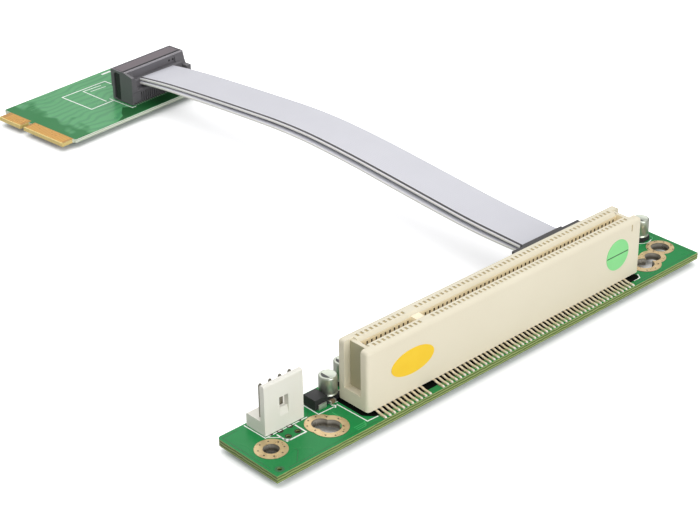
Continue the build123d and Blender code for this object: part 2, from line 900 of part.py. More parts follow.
lower_points = [
    (away, height - ribbon_thickness - gap) for (away, height), gap in zip(ribbon_points, ribbon_gaps)
]
upper_route = ribbon_route(ribbon_points)
lower_route = ribbon_route(lower_points)
card_clamp_face = front(card, plug_step_face - card_clamp_depth)
riser_clamp_face = front(riser, riser_connector_far + riser_clamp_depth)

# Both layers of the cable, cut flush with the faces of the clamps
with BuildPart() as ribbon_upper:
    sweep(ribbon_section(upper_route), path=upper_route)
    split(bisect_by=card_clamp_face, keep=Keep.TOP)
    split(bisect_by=riser_clamp_face, keep=Keep.BOTTOM)
ribbon_upper.part.label = "ribbon_upper"

with BuildPart() as ribbon_lower:
    sweep(ribbon_section(lower_route), path=lower_route)
    split(bisect_by=card_clamp_face, keep=Keep.TOP)
    split(bisect_by=riser_clamp_face, keep=Keep.BOTTOM)
ribbon_lower.part.label = "ribbon_lower"

# Bridge chip under the card: a flat body with bevelled sides and leads on all four sides
with BuildPart() as bridge_chip_body:
    with BuildSketch(card_back):
        with Locations(bridge_centre):
            Rectangle(bridge_size, bridge_size)
    extrude(amount=-bridge_height)
    chamfer(bridge_chip_body.edges().filter_by(Axis.Z), bridge_bevel)
bridge_chip_body.part.label = "bridge_chip_body"

with BuildPart() as bridge_chip_leads:
    lead_row_reach = bridge_size / 2 + bridge_lead_reach / 2
    with BuildSketch(card_back):
        with Locations(bridge_centre):
            for across in (-lead_row_reach, lead_row_reach):
                with Locations((0, across)):
                    with GridLocations(bridge_lead_pitch, 0, bridge_leads_per_side, 1):
                        Rectangle(bridge_lead_width, bridge_lead_reach)
                with Locations((across, 0)):
                    with GridLocations(0, bridge_lead_pitch, 1, bridge_leads_per_side):
                        Rectangle(bridge_lead_reach, bridge_lead_width)
    extrude(amount=-bridge_lead_thickness)
bridge_chip_leads.part.label = "bridge_chip_leads"

# Clock crystal and chip parts under the card
with BuildPart() as clock_crystal:
    with BuildSketch(card_back):
        with Locations(crystal_centre):
            RectangleRounded(crystal_length, crystal_width, crystal_width / 8)
    extrude(amount=-crystal_height)
clock_crystal.part.label = "clock_crystal"

with BuildPart() as card_chip_bodies:
    extrude(chip_bodies(card_back, card_chips), amount=-chip_height)
card_chip_bodies.part.label = "card_chip_bodies"

with BuildPart() as card_chip_ends:
    extrude(chip_ends(card_back, card_chips), amount=-chip_height)
card_chip_ends.part.label = "card_chip_ends"

os.makedirs("parts", exist_ok=True)
export_step(riser_board.part, "parts/riser_board.step")
export_step(plated_rings.part, "parts/plated_rings.step")
export_step(slot_housing.part, "parts/slot_housing.step")
export_step(slot_contacts_front.part, "parts/slot_contacts_front.step")
export_step(slot_contacts_rear.part, "parts/slot_contacts_rear.step")
export_step(slot_leads_front.part, "parts/slot_leads_front.step")
export_step(slot_leads_rear.part, "parts/slot_leads_rear.step")
export_step(yellow_sticker.part, "parts/yellow_sticker.step")
export_step(green_sticker.part, "parts/green_sticker.step")
export_step(power_header_housing.part, "parts/power_header_housing.step")
export_step(power_header_pins.part, "parts/power_header_pins.step")
export_step(diode_body.part, "parts/diode_body.step")
export_step(diode_leads.part, "parts/diode_leads.step")
export_step(capacitor_bases.part, "parts/capacitor_bases.step")
export_step(capacitor_cans.part, "parts/capacitor_cans.step")
export_step(capacitor_leads.part, "parts/capacitor_leads.step")
export_step(riser_chip_bodies.part, "parts/riser_chip_bodies.step")
export_step(riser_chip_ends.part, "parts/riser_chip_ends.step")
export_step(riser_cable_body.part, "parts/riser_cable_body.step")
export_step(riser_cable_tails.part, "parts/riser_cable_tails.step")
export_step(riser_cable_clamp.part, "parts/riser_cable_clamp.step")
export_step(card_board.part, "parts/card_board.step")
export_step(card_screw_rings.part, "parts/card_screw_rings.step")
export_step(edge_fingers_top.part, "parts/edge_fingers_top.step")
export_step(edge_fingers_bottom.part, "parts/edge_fingers_bottom.step")
export_step(card_socket_body.part, "parts/card_socket_body.step")
export_step(card_socket_leads.part, "parts/card_socket_leads.step")
export_step(card_plug_body.part, "parts/card_plug_body.step")
export_step(card_cover_strip.part, "parts/card_cover_strip.step")
export_step(card_cable_clamp.part, "parts/card_cable_clamp.step")
export_step(ribbon_upper.part, "parts/ribbon_upper.step")
export_step(ribbon_lower.part, "parts/ribbon_lower.step")
export_step(bridge_chip_body.part, "parts/bridge_chip_body.step")
export_step(bridge_chip_leads.part, "parts/bridge_chip_leads.step")
export_step(clock_crystal.part, "parts/clock_crystal.step")
export_step(card_chip_bodies.part, "parts/card_chip_bodies.step")
export_step(card_chip_ends.part, "parts/card_chip_ends.step")

for name, layer, points, route in (
    ("upper", ribbon_upper, ribbon_points, upper_route),
    ("lower", ribbon_lower, lower_points, lower_route),
):
    length = sum(edge.length for edge in route.edges())
    print(name, "route", round(length, 1), "radii", [round(radius) for radius in ribbon_radii(points)])
    print("volume", round(layer.part.volume, 1), "section", round(ribbon_width * ribbon_thickness, 2))
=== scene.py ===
import math
import bpy
import numpy as np
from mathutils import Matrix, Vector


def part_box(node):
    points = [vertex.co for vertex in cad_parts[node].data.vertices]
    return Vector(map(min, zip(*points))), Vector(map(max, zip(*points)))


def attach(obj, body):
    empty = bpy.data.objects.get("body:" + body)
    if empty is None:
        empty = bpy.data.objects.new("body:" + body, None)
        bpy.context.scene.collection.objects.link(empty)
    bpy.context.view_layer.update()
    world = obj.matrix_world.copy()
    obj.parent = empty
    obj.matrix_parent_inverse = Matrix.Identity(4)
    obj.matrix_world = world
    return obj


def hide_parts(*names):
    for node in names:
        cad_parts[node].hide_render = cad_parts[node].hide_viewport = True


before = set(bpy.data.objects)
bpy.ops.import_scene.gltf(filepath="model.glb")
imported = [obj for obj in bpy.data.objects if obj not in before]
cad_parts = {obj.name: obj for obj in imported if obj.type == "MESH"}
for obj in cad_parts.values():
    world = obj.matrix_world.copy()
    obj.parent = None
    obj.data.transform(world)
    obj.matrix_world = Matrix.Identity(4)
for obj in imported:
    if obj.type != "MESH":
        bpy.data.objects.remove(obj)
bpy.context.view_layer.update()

# Camera: it stands over the header's end of the riser board and looks along the cable to the small card.
# A long lens from about 0.4 m away keeps the boards' long edges nearly parallel.
camera_spot = np.array([-0.245696, -0.313909, 0.205805])
camera_turn = math.radians(-42.376)
camera_rise = math.radians(28.882)
camera_roll = math.radians(-0.760)
camera_lens = 93.34
back = np.array([
    math.sin(camera_turn) * math.cos(camera_rise),
    -math.cos(camera_turn) * math.cos(camera_rise),
    math.sin(camera_rise),
])
level = np.cross([0, 0, 1], back)
level = level / np.linalg.norm(level)
above = np.cross(back, level)
right_hand = math.cos(camera_roll) * level + math.sin(camera_roll) * above
upwards = -math.sin(camera_roll) * level + math.cos(camera_roll) * above
camera_data = bpy.data.cameras.new("camera")
camera_data.lens = camera_lens
camera_data.sensor_width = 36
camera_data.clip_start = 0.01
camera_data.clip_end = 20
camera = bpy.data.objects.new("camera", camera_data)
bpy.context.scene.collection.objects.link(camera)
camera.matrix_world = np.array([
    [right_hand[k], upwards[k], back[k], camera_spot[k]] for k in range(3)
] + [[0, 0, 0, 1]]).T.tolist()
bpy.context.scene.camera = camera

# Flat cable: two layers of grey plastic over side-by-side wires, so each face has a low ridge over every
# wire. The upper layer has the first wire marked by a dark stripe. Both run from clamp to clamp.
riser_low, riser_high = [np.array(corner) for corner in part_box("riser_board")]
ribbon_x = riser_low[0] + 0.0968
ribbon_width = 0.0128
ribbon_thickness = 0.0008
ribbon_wires = 20
ribbon_ridge = 0.00003
# The same points as the solids' route, from the card's clamp to the riser's: distance from the riser
# board's near edge and height over its top face, with the gap to the lower layer at each
upper_points = (
    (0.1642, 0.00551),
    (0.1550, 0.0070),
    (0.1410, 0.0084),
    (0.1220, 0.0102),
    (0.0990, 0.0119),
    (0.0780, 0.0114),
    (0.0570, 0.0097),
    (0.0380, 0.0084),
    (0.0270, 0.00805),
    (0.0203, 0.00789),
)
layer_gaps = (0.0002, 0.0002, 0.00025, 0.0004, 0.0005, 0.0006, 0.0006, 0.0006, 0.0005, 0.0003)
# How far the upper layer's route wanders to the right at each point, and the lower one's to the left
upper_drift = (0.0, 0.0, 0.0001, -0.0001, 0.00012, -0.0001, 0.0001, -0.0001, 0.0, 0.0)
lower_drift = (-0.0002, -0.0004, -0.0006, -0.0007, -0.0007, -0.0007, -0.0007, -0.0006, -0.0004, -0.0001)


def screen(red, green, blue):
    """Linear colour of a screen colour given from 0 to 255, by the screen's own curve."""
    channels = np.array([red, green, blue]) / 255
    linear = np.where(channels <= 0.04045, channels / 12.92, ((channels + 0.055) / 1.055) ** 2.4)
    return (*linear.tolist(), 1.0)


def add_node(holder, kind, inputs, **settings):
    """A shader node of that kind in a material or world, with its settings. Its inputs go by name or
    number: another node's output is linked to one, and any other value is set on it."""
    node = holder.node_tree.nodes.new("ShaderNode" + kind)
    for name, value in settings.items():
        setattr(node, name, value)
    for name, value in inputs.items():
        if isinstance(value, bpy.types.NodeSocket):
            holder.node_tree.links.new(value, node.inputs[name])
        else:
            node.inputs[name].default_value = value
    return node


def calculate(holder, operation, *values):
    """The outcome of an arithmetic operation on the values."""
    return add_node(holder, "Math", dict(enumerate(values)), operation=operation).outputs["Value"]


def ramp(holder, value, low, high, start=0.0, end=1.0):
    """Goes evenly from start to end while the value goes from low to high."""
    limits = {"Value": value, "From Min": low, "From Max": high, "To Min": start, "To Max": end}
    return add_node(holder, "MapRange", limits).outputs["Result"]


def mix(holder, factor, first, second):
    """Colour that goes from the first to the second by a factor from 0 to 1."""
    inputs = {"Factor": factor, "A": first, "B": second}
    return add_node(holder, "Mix", inputs, data_type="RGBA").outputs["Result"]


def shader_of(material):
    """A material's one shader."""
    return material.node_tree.nodes["Principled BSDF"]


def paint(material, factor, colour):
    """Lays a colour over the base colour by a factor from 0 to 1."""
    base = shader_of(material).inputs["Base Color"]
    under = base.links[0].from_socket
    material.node_tree.links.new(mix(material, factor, under, colour), base)


def object_place(material):
    """Coordinates of the surface in the object's metres."""
    return add_node(material, "TexCoord", {}).outputs["Object"]


def facing(material, axis):
    """How far the surface faces along an axis, either way, from 0 to 1."""
    normal = add_node(material, "NewGeometry", {}).outputs["Normal"]
    split = add_node(material, "SeparateXYZ", {"Vector": normal})
    return calculate(material, "ABSOLUTE", split.outputs[axis])


def finish(name, tones, patch, roughness, relief=0.0, grain=0.0002, metallic=0.0, coat=0.0, specular=0.5):
    """A surface whose colour and gloss drift between two tones over patches of that size, in metres, with
    a fine relief of grains of that size."""
    material = bpy.data.materials.new(name)
    material.use_nodes = True
    links = material.node_tree.links
    shader = shader_of(material)
    shader.inputs["Metallic"].default_value = metallic
    shader.inputs["Coat Weight"].default_value = coat
    shader.inputs["Specular IOR Level"].default_value = specular
    place = object_place(material)
    clouds = add_node(material, "TexNoise", {"Vector": place, "Scale": 1 / patch, "Detail": 3})
    drift = clouds.outputs["Fac"]
    links.new(mix(material, drift, screen(*tones[0]), screen(*tones[1])), shader.inputs["Base Color"])
    links.new(ramp(material, drift, 0.3, 0.7, *roughness), shader.inputs["Roughness"])
    if relief:
        grains = add_node(material, "TexNoise", {"Vector": place, "Scale": 1 / grain}).outputs["Fac"]
        bump = add_node(material, "Bump", {"Strength": relief, "Distance": grain * 0.2, "Height": grains})
        links.new(bump.outputs["Normal"], shader.inputs["Normal"])
    return material


def add_piece(name, points, faces, material):
    """A mesh piece from its points and faces, with its finish, riding on the object."""
    mesh = bpy.data.meshes.new(name)
    mesh.from_pydata(np.asarray(points, dtype=float).tolist(), [], [list(face) for face in faces])
    mesh.materials.append(material)
    piece = bpy.data.objects.new(name, mesh)
    bpy.context.scene.collection.objects.link(piece)
    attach(piece, "root")
    return piece


def grid_faces(rows, columns, across=False):
    """Faces between neighbours in a grid of points; across also joins the last column to the first."""
    index = np.arange(rows * columns).reshape(rows, columns)
    if across:
        index = np.hstack([index, index[:, :1]])
    corners = (index[:-1, :-1], index[:-1, 1:], index[1:, 1:], index[1:, :-1])
    return np.stack(corners, axis=-1).reshape(-1, 4)


def smooth(piece):
    """Rounds the shading over the whole piece."""
    piece.data.polygons.foreach_set("use_smooth", [True] * len(piece.data.polygons))


def cable_route(name, route, drift):
    """Points along a smooth curve whose control points are the route's, moved sideways by the drift."""
    curve = bpy.data.curves.new(name, "CURVE")
    curve.dimensions = "3D"
    curve.resolution_u = 16
    spline = curve.splines.new("NURBS")
    spline.points.add(len(route) - 1)
    for point, (away, height), aside in zip(spline.points, route, drift):
        point.co = (ribbon_x + aside, riser_low[1] + away, riser_high[2] + height, 1)
    spline.order_u = 3
    spline.use_endpoint_u = True
    line = bpy.data.objects.new(name, curve)
    bpy.context.scene.collection.objects.link(line)
    bpy.context.view_layer.update()
    mesh = bpy.data.meshes.new_from_object(line.evaluated_get(bpy.context.evaluated_depsgraph_get()))
    points = np.zeros(3 * len(mesh.vertices))
    mesh.vertices.foreach_get("co", points)
    bpy.data.objects.remove(line)
    bpy.data.meshes.remove(mesh)
    return points.reshape(-1, 3)


def cable_layer(name, route, drift, material):
    """One layer: the section, a flat oval with a low ridge over each wire, is carried along the route with
    its width level and its thickness square to the route."""
    path = cable_route(name + "_route", route, drift)
    steps = 6 * ribbon_wires
    across = np.linspace(-1, 1, steps + 1)
    rounding = np.clip((1 - np.abs(across)) * ribbon_width / ribbon_thickness, 0, 1)
    edge = np.sqrt(1 - (1 - rounding) ** 2)
    ridge = ribbon_ridge * np.abs(np.cos(across * ribbon_wires * math.pi / 2))
    half = (ribbon_thickness / 2 - ribbon_ridge + ridge) * edge
    over = np.concatenate([across[1:], across[-2::-1]]) * ribbon_width / 2
    up = np.concatenate([half[1:], -half[-2::-1]])
    along = np.gradient(path, axis=0)
    along = along / np.linalg.norm(along, axis=1)[:, None]
    rise = np.cross(along, [1.0, 0.0, 0.0])
    rise = rise * np.sign(rise[:, 2])[:, None]
    sections = (
        path[:, None, :]
        + over[None, :, None] * np.array([1.0, 0.0, 0.0])
        + up[None, :, None] * rise[:, None, :]
    )
    rows, columns = sections.shape[:2]
    faces = grid_faces(rows, columns, across=True)[:, ::-1].tolist()
    faces.append(list(range(columns)))
    faces.append(list(range((rows - 1) * columns, rows * columns))[::-1])
    piece = add_piece(name, sections.reshape(-1, 3), faces, material)
    layer = piece.data.uv_layers.new(name="across")
    corner = np.zeros(len(piece.data.loops), dtype=int)
    piece.data.loops.foreach_get("vertex_index", corner)
    place = over[corner % columns] / ribbon_width + 0.5
    top = up[corner % columns] / ribbon_thickness + 0.5
    layer.data.foreach_set("uv", np.stack([place, top], axis=1).ravel())
    smooth(piece)
    return piece, path


cable_marked, cable_plain = [
    finish(name, ((206, 206, 214), (216, 216, 223)), 0.012, (0.42, 0.5), 0.12, 0.0009)
    for name in ("cable_marked", "cable_plain")
]
# The first wire's stripe, by its place across the layer and only on the upper face
stripe_place = 0.05
stripe_half = 0.027
stripe_low = 0.6
section = add_node(cable_marked, "UVMap", {}, uv_map="across").outputs["UV"]
section = add_node(cable_marked, "SeparateXYZ", {"Vector": section})
along_stripe = calculate(cable_marked, "COMPARE", section.outputs["X"], stripe_place, stripe_half)
on_top = calculate(cable_marked, "GREATER_THAN", section.outputs["Y"], stripe_low)
paint(cable_marked, calculate(cable_marked, "MULTIPLY", along_stripe, on_top), screen(48, 44, 48))
# The layers' cut edges are painted paler than their faces: painted light, for the top light that their
# rounded sides catch
for cable_finish in (cable_plain, cable_marked):
    paint(cable_finish, ramp(cable_finish, facing(cable_finish, "X"), 0.5, 0.8), screen(250, 249, 244))

lower_points = tuple(
    (away, height - ribbon_thickness - gap) for (away, height), gap in zip(upper_points, layer_gaps)
)
for layer_name, route, drift, material in (
    ("ribbon_upper", upper_points, upper_drift, cable_marked),
    ("ribbon_lower", lower_points, lower_drift, cable_plain),
):
    layer, path = cable_layer(layer_name + "_cable", route, drift, material)
    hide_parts(layer_name)

# Boards: green solder mask over glass-fibre laminate. The cut sides show the laminate's layers; the mask
# is smooth, and darker where there is no copper below it.
mm = 0.001
card_turn = math.radians(5.28)
card_thickness = 1.0
card_corner = np.array([riser_low[0] + 0.06186, riser_low[1] + 0.15406])


def board_frame(corner, top, turn):
    """Origin and three directions of a board: along its near edge, away over its width, and up."""
    return (
        np.array([corner[0], corner[1], top]),
        np.array([math.cos(turn), math.sin(turn), 0.0]),
        np.array([-math.sin(turn), math.cos(turn), 0.0]),
        np.array([0.0, 0.0, 1.0]),
    )


riser_frame = board_frame(riser_low, riser_high[2], 0.0)
card_frame = board_frame(card_corner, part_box("card_board")[1][2], card_turn)


def on_board(board, places):
    """Places on a board, in its millimetres along, away and up, as points in metres."""
    origin, along, away, up = board
    places = np.asarray(places, dtype=float) * mm
    return origin + places[..., :1] * along + places[..., 1:2] * away + places[..., 2:3] * up


def solder_mask(name, tones):
    """The lacquer on a board: even, with a smooth and weak gloss."""
    return finish(name, tones, 0.02, (0.25, 0.35), 0.1, 0.0006, specular=0.18)


def cut_sides(material, tones, layer):
    """Level layers between two tones, each about as thick as given, on the faces that look sideways."""
    layers = add_node(
        material, "TexWave",
        {"Vector": object_place(material), "Scale": 0.3 / layer, "Distortion": 2.5, "Detail": 3},
        bands_direction="Z",
    ).outputs["Fac"]
    upright = calculate(material, "LESS_THAN", facing(material, "Z"), 0.5)
    paint(material, upright, mix(material, layers, screen(*tones[0]), screen(*tones[1])))


def dress(node, material):
    """Gives a CAD node its finish."""
    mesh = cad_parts[node].data
    mesh.materials.clear()
    mesh.materials.append(material)


riser_mask = solder_mask("riser_mask", ((14, 126, 60), (32, 146, 78)))
cut_sides(riser_mask, ((70, 92, 44), (160, 176, 110)), 0.0006)
card_mask = solder_mask("card_mask", ((78, 160, 100), (100, 172, 118)))
# Turns the object's coordinates to the card's own, from its near left corner
card_axes = {
    "Vector": object_place(card_mask), "Location": (*card_corner, 0), "Rotation": (0, 0, card_turn),
}
card_place = add_node(card_mask, "Mapping", card_axes, vector_type="TEXTURE").outputs["Vector"]
# Rows of tracks that swing to and fro below the mask, as darker lines
track_rows = add_node(
    card_mask, "TexWave",
    {"Vector": card_place, "Scale": 130, "Distortion": 9, "Detail": 1, "Detail Scale": 0.8},
    bands_direction="Y",
).outputs["Fac"]
paint(card_mask, ramp(card_mask, track_rows, 0.45, 1.0), screen(78, 150, 102))
# No copper lies beside the tongue, up to an uneven border
border_wander = 0.016
border_low, border_high = 0.0128, 0.0152
clouds = add_node(card_mask, "TexNoise", {"Vector": card_place, "Scale": 190, "Detail": 1})
from_left = add_node(card_mask, "SeparateXYZ", {"Vector": card_place}).outputs["X"]
border = calculate(card_mask, "MULTIPLY_ADD", clouds.outputs["Fac"], border_wander, from_left)
paint(card_mask, ramp(card_mask, border, border_high, border_low), screen(22, 122, 58))
cut_sides(card_mask, ((196, 214, 180), (252, 253, 244)), 0.0005)
dress("riser_board", riser_mask)
dress("card_board", card_mask)

# Copper under the mask: tracks and pour edges stand a few hundredths of a millimetre proud and show as
# paler or darker green lines. On the card, darker patches also carry painted shadow.
mask_lift = 0.012
mask_dark = finish("mask_dark", ((8, 92, 40), (14, 106, 50)), 0.01, (0.4, 0.5))
mask_pale = finish("mask_pale", ((44, 166, 88), (58, 178, 100)), 0.01, (0.4, 0.5))
card_shadow_green = finish("card_shadow_green", ((2, 84, 30), (12, 102, 44)), 0.006, (0.4, 0.5))
card_track = finish("card_track", ((46, 148, 84), (60, 160, 96)), 0.006, (0.4, 0.5))


def blocks(name, board, pairs, material):
    """Closed solids on a board: each joins two like rings of points, given along, away and up, by walls,
    and closes both ends. Rings whose faces would look inwards are turned round."""
    points, faces, start = [], [], 0
    for first, second in pairs:
        first, second = np.asarray(first, dtype=float), np.asarray(second, dtype=float)
        corners = len(first)
        area = np.sum(np.cross(first, np.roll(first, -1, axis=0)), axis=0)
        if np.dot(area, second.mean(axis=0) - first.mean(axis=0)) < 0:
            first, second = first[::-1], second[::-1]
        loop = start + np.arange(corners)
        points += [first, second]
        faces += (start + grid_faces(2, corners, across=True)).tolist()
        faces += [(loop + corners).tolist(), loop[::-1].tolist()]
        start += 2 * corners
    return add_piece(name, on_board(board, np.vstack(points)), faces, material)


def prisms(name, board, outlines, low, high, material):
    """Upright prisms on a board over closed outlines, from height low to high."""
    pairs = [
        [np.column_stack([np.asarray(outline), np.full(len(outline), height)]) for height in (low, high)]
        for outline in outlines
    ]
    return blocks(name, board, pairs, material)


def rectangle(left, right, near, far):
    """Corners of a rectangle; for a profile the sides are near, far, low and high."""
    return [(left, near), (right, near), (right, far), (left, far)]


def bars(name, board, profiles, material):
    """Level bars along a board: each profile of away and up is carried from one place along to another."""
    pairs = [
        [[(along, away, up) for away, up in profile] for along in (start, end)]
        for profile, start, end in profiles
    ]
    return blocks(name, board, pairs, material)


def stroke(path, width):
    """Outline of a line of that width along a path: each point steps to both sides along the mean of its
    neighbours' normals."""
    path = np.asarray(path, dtype=float)
    runs = np.diff(path, axis=0)
    runs = runs / np.linalg.norm(runs, axis=1)[:, None]
    normals = np.column_stack([-runs[:, 1], runs[:, 0]])
    before = np.vstack([normals[:1], normals])
    after = np.vstack([normals, normals[-1:]])
    mean = before + after
    mean = mean / np.sum(mean * after, axis=1)[:, None]
    return np.vstack([path + mean * width / 2, (path - mean * width / 2)[::-1]])


def strokes(width, *paths):
    """Outlines of lines of one width along the paths."""
    return [stroke(path, width) for path in paths]


def ring_of(centre, radius, corners=24):
    """Points round a circle."""
    turn = np.arange(corners) * 2 * math.pi / corners
    return np.column_stack([centre[0] + radius * np.cos(turn), centre[1] + radius * np.sin(turn)])


riser_gap_lines = strokes(
    0.16,
    [(3.6, 0.75), (26.5, 0.75), (27.2, 0.2)],
    [(0.75, 3.0), (0.75, 17.4), (4.5, 17.5)],
    [(107.8, 0.7), (128.7, 0.7), (128.7, 17.5), (122.0, 17.5)],
    [(18.6, 17.4), (30.0, 17.4), (31.0, 17.9)],
    [(42.0, 17.5), (84.0, 17.5)],
) + strokes(
    0.14,
    [(6.2, 1.3), (8.8, 3.9), (8.8, 4.9)],
    [(17.6, 11.2), (19.4, 12.9), (19.4, 16.6)],
    [(112.6, 12.0), (117.8, 12.0), (119.6, 13.8)],
)
prisms("riser_gap_lines", riser_frame, riser_gap_lines, 0.0, mask_lift, mask_dark)
riser_track_lines = strokes(
    0.2,
    *([(22.0, 1.0 + 0.55 * k), (24.2 + 0.3 * k, 1.0 + 0.55 * k), (24.9 + 0.3 * k, 1.7 + 0.55 * k)]
      for k in range(3)),
    *([(x, 14.6), (x, 16.4), (x + 1.2, 17.3)] for x in 33.0 + 3.81 * np.arange(13)),
) + strokes(
    0.22,
    [(20.2, 4.0), (22.6, 6.4), (22.6, 9.2)],
    [(112.8, 9.6), (114.4, 11.0), (118.6, 11.0)],
    [(122.4, 11.6), (127.2, 11.6), (127.8, 12.2), (127.8, 16.0)],
)
prisms("riser_track_lines", riser_frame, riser_track_lines, 0.0, mask_lift, mask_pale)
# Darker patches on the card: the first, between its near edge and the cable connector, is painted shadow of
# the cable; the second is a darker strip along the card's right edge
card_shadow_patches = [
    [(15.2, 0.3), (46.6, 0.3), (46.6, 4.2), (24.6, 4.2), (22.3, 6.4), (19.5, 3.6), (18.6, 2.0)],
    [(43.4, 13.4), (46.6, 13.4), (46.6, 29.6), (40.0, 29.6), (43.4, 26.0)],
]
prisms("card_shadow_patches", card_frame, card_shadow_patches, 0.0, mask_lift, card_shadow_green)
card_tracks = strokes(
    0.16, *([(4.4, y), (11.0, y), (13.0, y - 1.5)] for y in 27.9 - 1.3 * np.arange(4)),
) + strokes(
    0.22,
    *([(33.0 + 2.2 * k, 14.0), (33.0 + 2.2 * k, 19.0 + k), (36.0 + 2.2 * k, 22.0 + k)] for k in range(4)),
)
prisms("card_tracks", card_frame, card_tracks, 0.0, mask_lift / 2, card_track)

# White ink on the boards: outlines of the parts and corner brackets, screen printed over the mask. The
# boards carry no words.
ink_lift = 0.02
ink_white = finish("ink_white", ((246, 248, 244), (254, 255, 252)), 0.004, (0.5, 0.6), 0.1)
riser_ink = strokes(
    0.26,
    [(25.29, 10.79), (25.58, 1.99), (28.45, 1.84)],
    [(108.3, 1.75), (110.4, 1.7), (111.35, 3.1)],
    [(17.8, 11.45), (6.85, 11.5), (6.67, 17.9)],
) + [
    stroke([(20.12, 16.2), (20.12, 10.6), (24.3, 10.44)], 0.24),
    stroke([(24.3, 11.3), (24.8, 10.6), (24.2, 10.0)], 0.3),
    stroke([(9.3, 10.9), (9.3, 7.75), (14.2, 7.65), (14.2, 11.1)], 0.34),
    stroke([(10.0, 7.7), (9.2, 8.6)], 0.6),
    stroke([(7.4, 11.3), (9.4, 9.4)], 0.2),
] + strokes(
    0.22,
    [(112.8, 12.0), (116.2, 12.6), (119.0, 12.6)],
    ring_of((125.3, 14.0), 2.75)[3:21],
    ring_of((26.07, 14.24), 2.8)[10:20],
    [(84.9, 14.6), (84.9, 17.9)],
    [(109.8, 14.6), (109.8, 17.9)],
)
prisms("riser_ink", riser_frame, riser_ink, 0.0, ink_lift, ink_white)
card_ink = [
    stroke([(24.3, 11.9), (15.9, 11.9), (15.9, 24.4), (31.3, 24.0), (31.3, 21.2)], 0.34),
    stroke([(22.2, 12.9), (22.5, 23.1), (28.6, 22.6)], 0.3),
    stroke([(23.8, 21.5), (29.0, 21.0)], 0.26),
    stroke([(34.0, 28.4), (37.4, 28.4)], 0.8),
    stroke([(24.0, 13.6), (24.0, 4.1), (25.4, 4.1)], 0.24),
]
prisms("card_ink", card_frame, card_ink, 0.0, ink_lift, ink_white)

# Bare copper with a thin gold wash: screw pads with small plated holes round them, and the rings of the
# jumper holes. The pads and the barrels are CAD nodes.
gold_wash = finish(
    "gold_wash", ((188, 158, 112), (226, 204, 160)), 1 / 700, (0.25, 0.35), 0.1, 0.0006,
    metallic=0.55, specular=0.18,
)
cut_sides(gold_wash, ((118, 112, 100), (196, 190, 178)), 0.0016)
# Near-black for the holes: they are drawn as flat dark marks on the board, painted shade in place of their
# shaded insides
hole_shade = finish("hole_shade", ((34, 26, 20), (60, 46, 34)), 0.001, (0.5, 0.7), 0.1)
tin_bare = finish(
    "tin_bare", ((186, 184, 176), (226, 224, 216)), 0.0016, (0.25, 0.45), 0.3, 0.0004, metallic=0.85
)
dress("plated_rings", gold_wash)
dress("card_screw_rings", tin_bare)
pad_top = 0.1
left_hole = np.array([5.23, 7.84])
stitch_radius = 0.19
stitch_reach = 2.65
stitch_turns = np.arange(8) * math.pi / 4 + 0.3
stitch_places = [
    left_hole + stitch_reach * np.array([math.cos(turn), math.sin(turn)]) for turn in stitch_turns
] + [
    (17.0, 10.2), (15.6, 8.9), (15.75, 6.7), (16.1, 4.0), (17.5, 2.6), (19.5, 2.5), (20.9, 4.0),
    (20.55, 8.7), (19.0, 10.2), (21.9, 6.6),
    (114.2, 2.7), (116.4, 2.0), (118.5, 2.9), (113.3, 5.2), (114.3, 7.7), (122.5, 7.6), (122.6, 9.3),
    (124.2, 10.4), (126.3, 10.3), (127.7, 8.7), (127.8, 6.6), (126.5, 5.0),
]
# The small plated holes are dark discs: painted shade
prisms(
    "stitch_holes", riser_frame, [ring_of(place, stitch_radius, 10) for place in stitch_places],
    pad_top - 0.02, pad_top + 0.012, hole_shade,
)
jumper_half = 1.27
jumper_places = [(11.88 + jumper_half * i, 10.2 + jumper_half * j) for i in (-1, 1) for j in (-1, 1)]


def at_each(name, board, places, shape, body, material):
    """One piece that has the same points and faces at each place on a board."""
    points = np.vstack([shape + np.array([x, y, 0.0]) for x, y in places])
    faces = [[start * len(shape) + k for k in face] for start in range(len(places)) for face in body]
    return add_piece(name, on_board(board, points), faces, material)


def washers(name, board, places, inner, outer, low, high, material, corners=28):
    """Flat rings at each place: a rectangle from the inner to the outer radius is carried round it."""
    around = ring_of((0, 0), 1, corners)
    shape = np.vstack([
        np.column_stack([radius * around, np.full(corners, height)])
        for radius, height in rectangle(inner, outer, low, high)
    ])
    # The fifth row of points is the first again
    body = grid_faces(5, corners, across=True) % len(shape)
    return at_each(name, board, places, shape, body.tolist(), material)


# Dark rings at the jumper holes: painted shade
washers("jumper_rings", riser_frame, jumper_places, 0.45, 0.72, 0.0, 0.03, hole_shade)
washers("tooling_ring", riser_frame, [(2.04, 1.63)], 0.5, 1.0, 0.0, 0.02, mask_dark)

# Card slot: moulded in ivory glass-filled plastic and rounded along its outer edges. Its top has the
# card's channel with a keying rib, and a pocket beside it over every contact; each end has a recess.
slot_ivory = finish("slot_ivory", ((226, 217, 193), (235, 228, 206)), 0.02, (0.42, 0.55), 0.25, 0.0004)
slot_left, slot_right = 26.88, 111.72
slot_near, slot_far = 3.28, 12.14
slot_middle = (slot_near + slot_far) / 2
slot_low, slot_top = 0.54, 14.52
slot_rounding = 0.8
rounding_steps = 5
channel_half = 0.9
channel_lip = 0.65
channel_floor = 5.52
channel_wall = 0.9
recess_half = 2.43
recess_depth = 1.7
recess_floor = 3.6
recess_drop = 0.35
contact_pitch = 1.27
contact_count = 62
contact_first = slot_left + 3.685
key_missing = (11, 12)
contact_places = np.array([
    contact_first + contact_pitch * k for k in range(contact_count) if k not in key_missing
])
key_middle = contact_first + contact_pitch * sum(key_missing) / 2
key_half, key_drop = 1.15, 0.5
pocket_half_along, pocket_half_away = 0.3, 0.52
pocket_inset = 1.95
pocket_rows = (slot_near + pocket_inset, slot_far - pocket_inset)
pocket_floor = slot_top - 0.9
slot_foot = 1.7

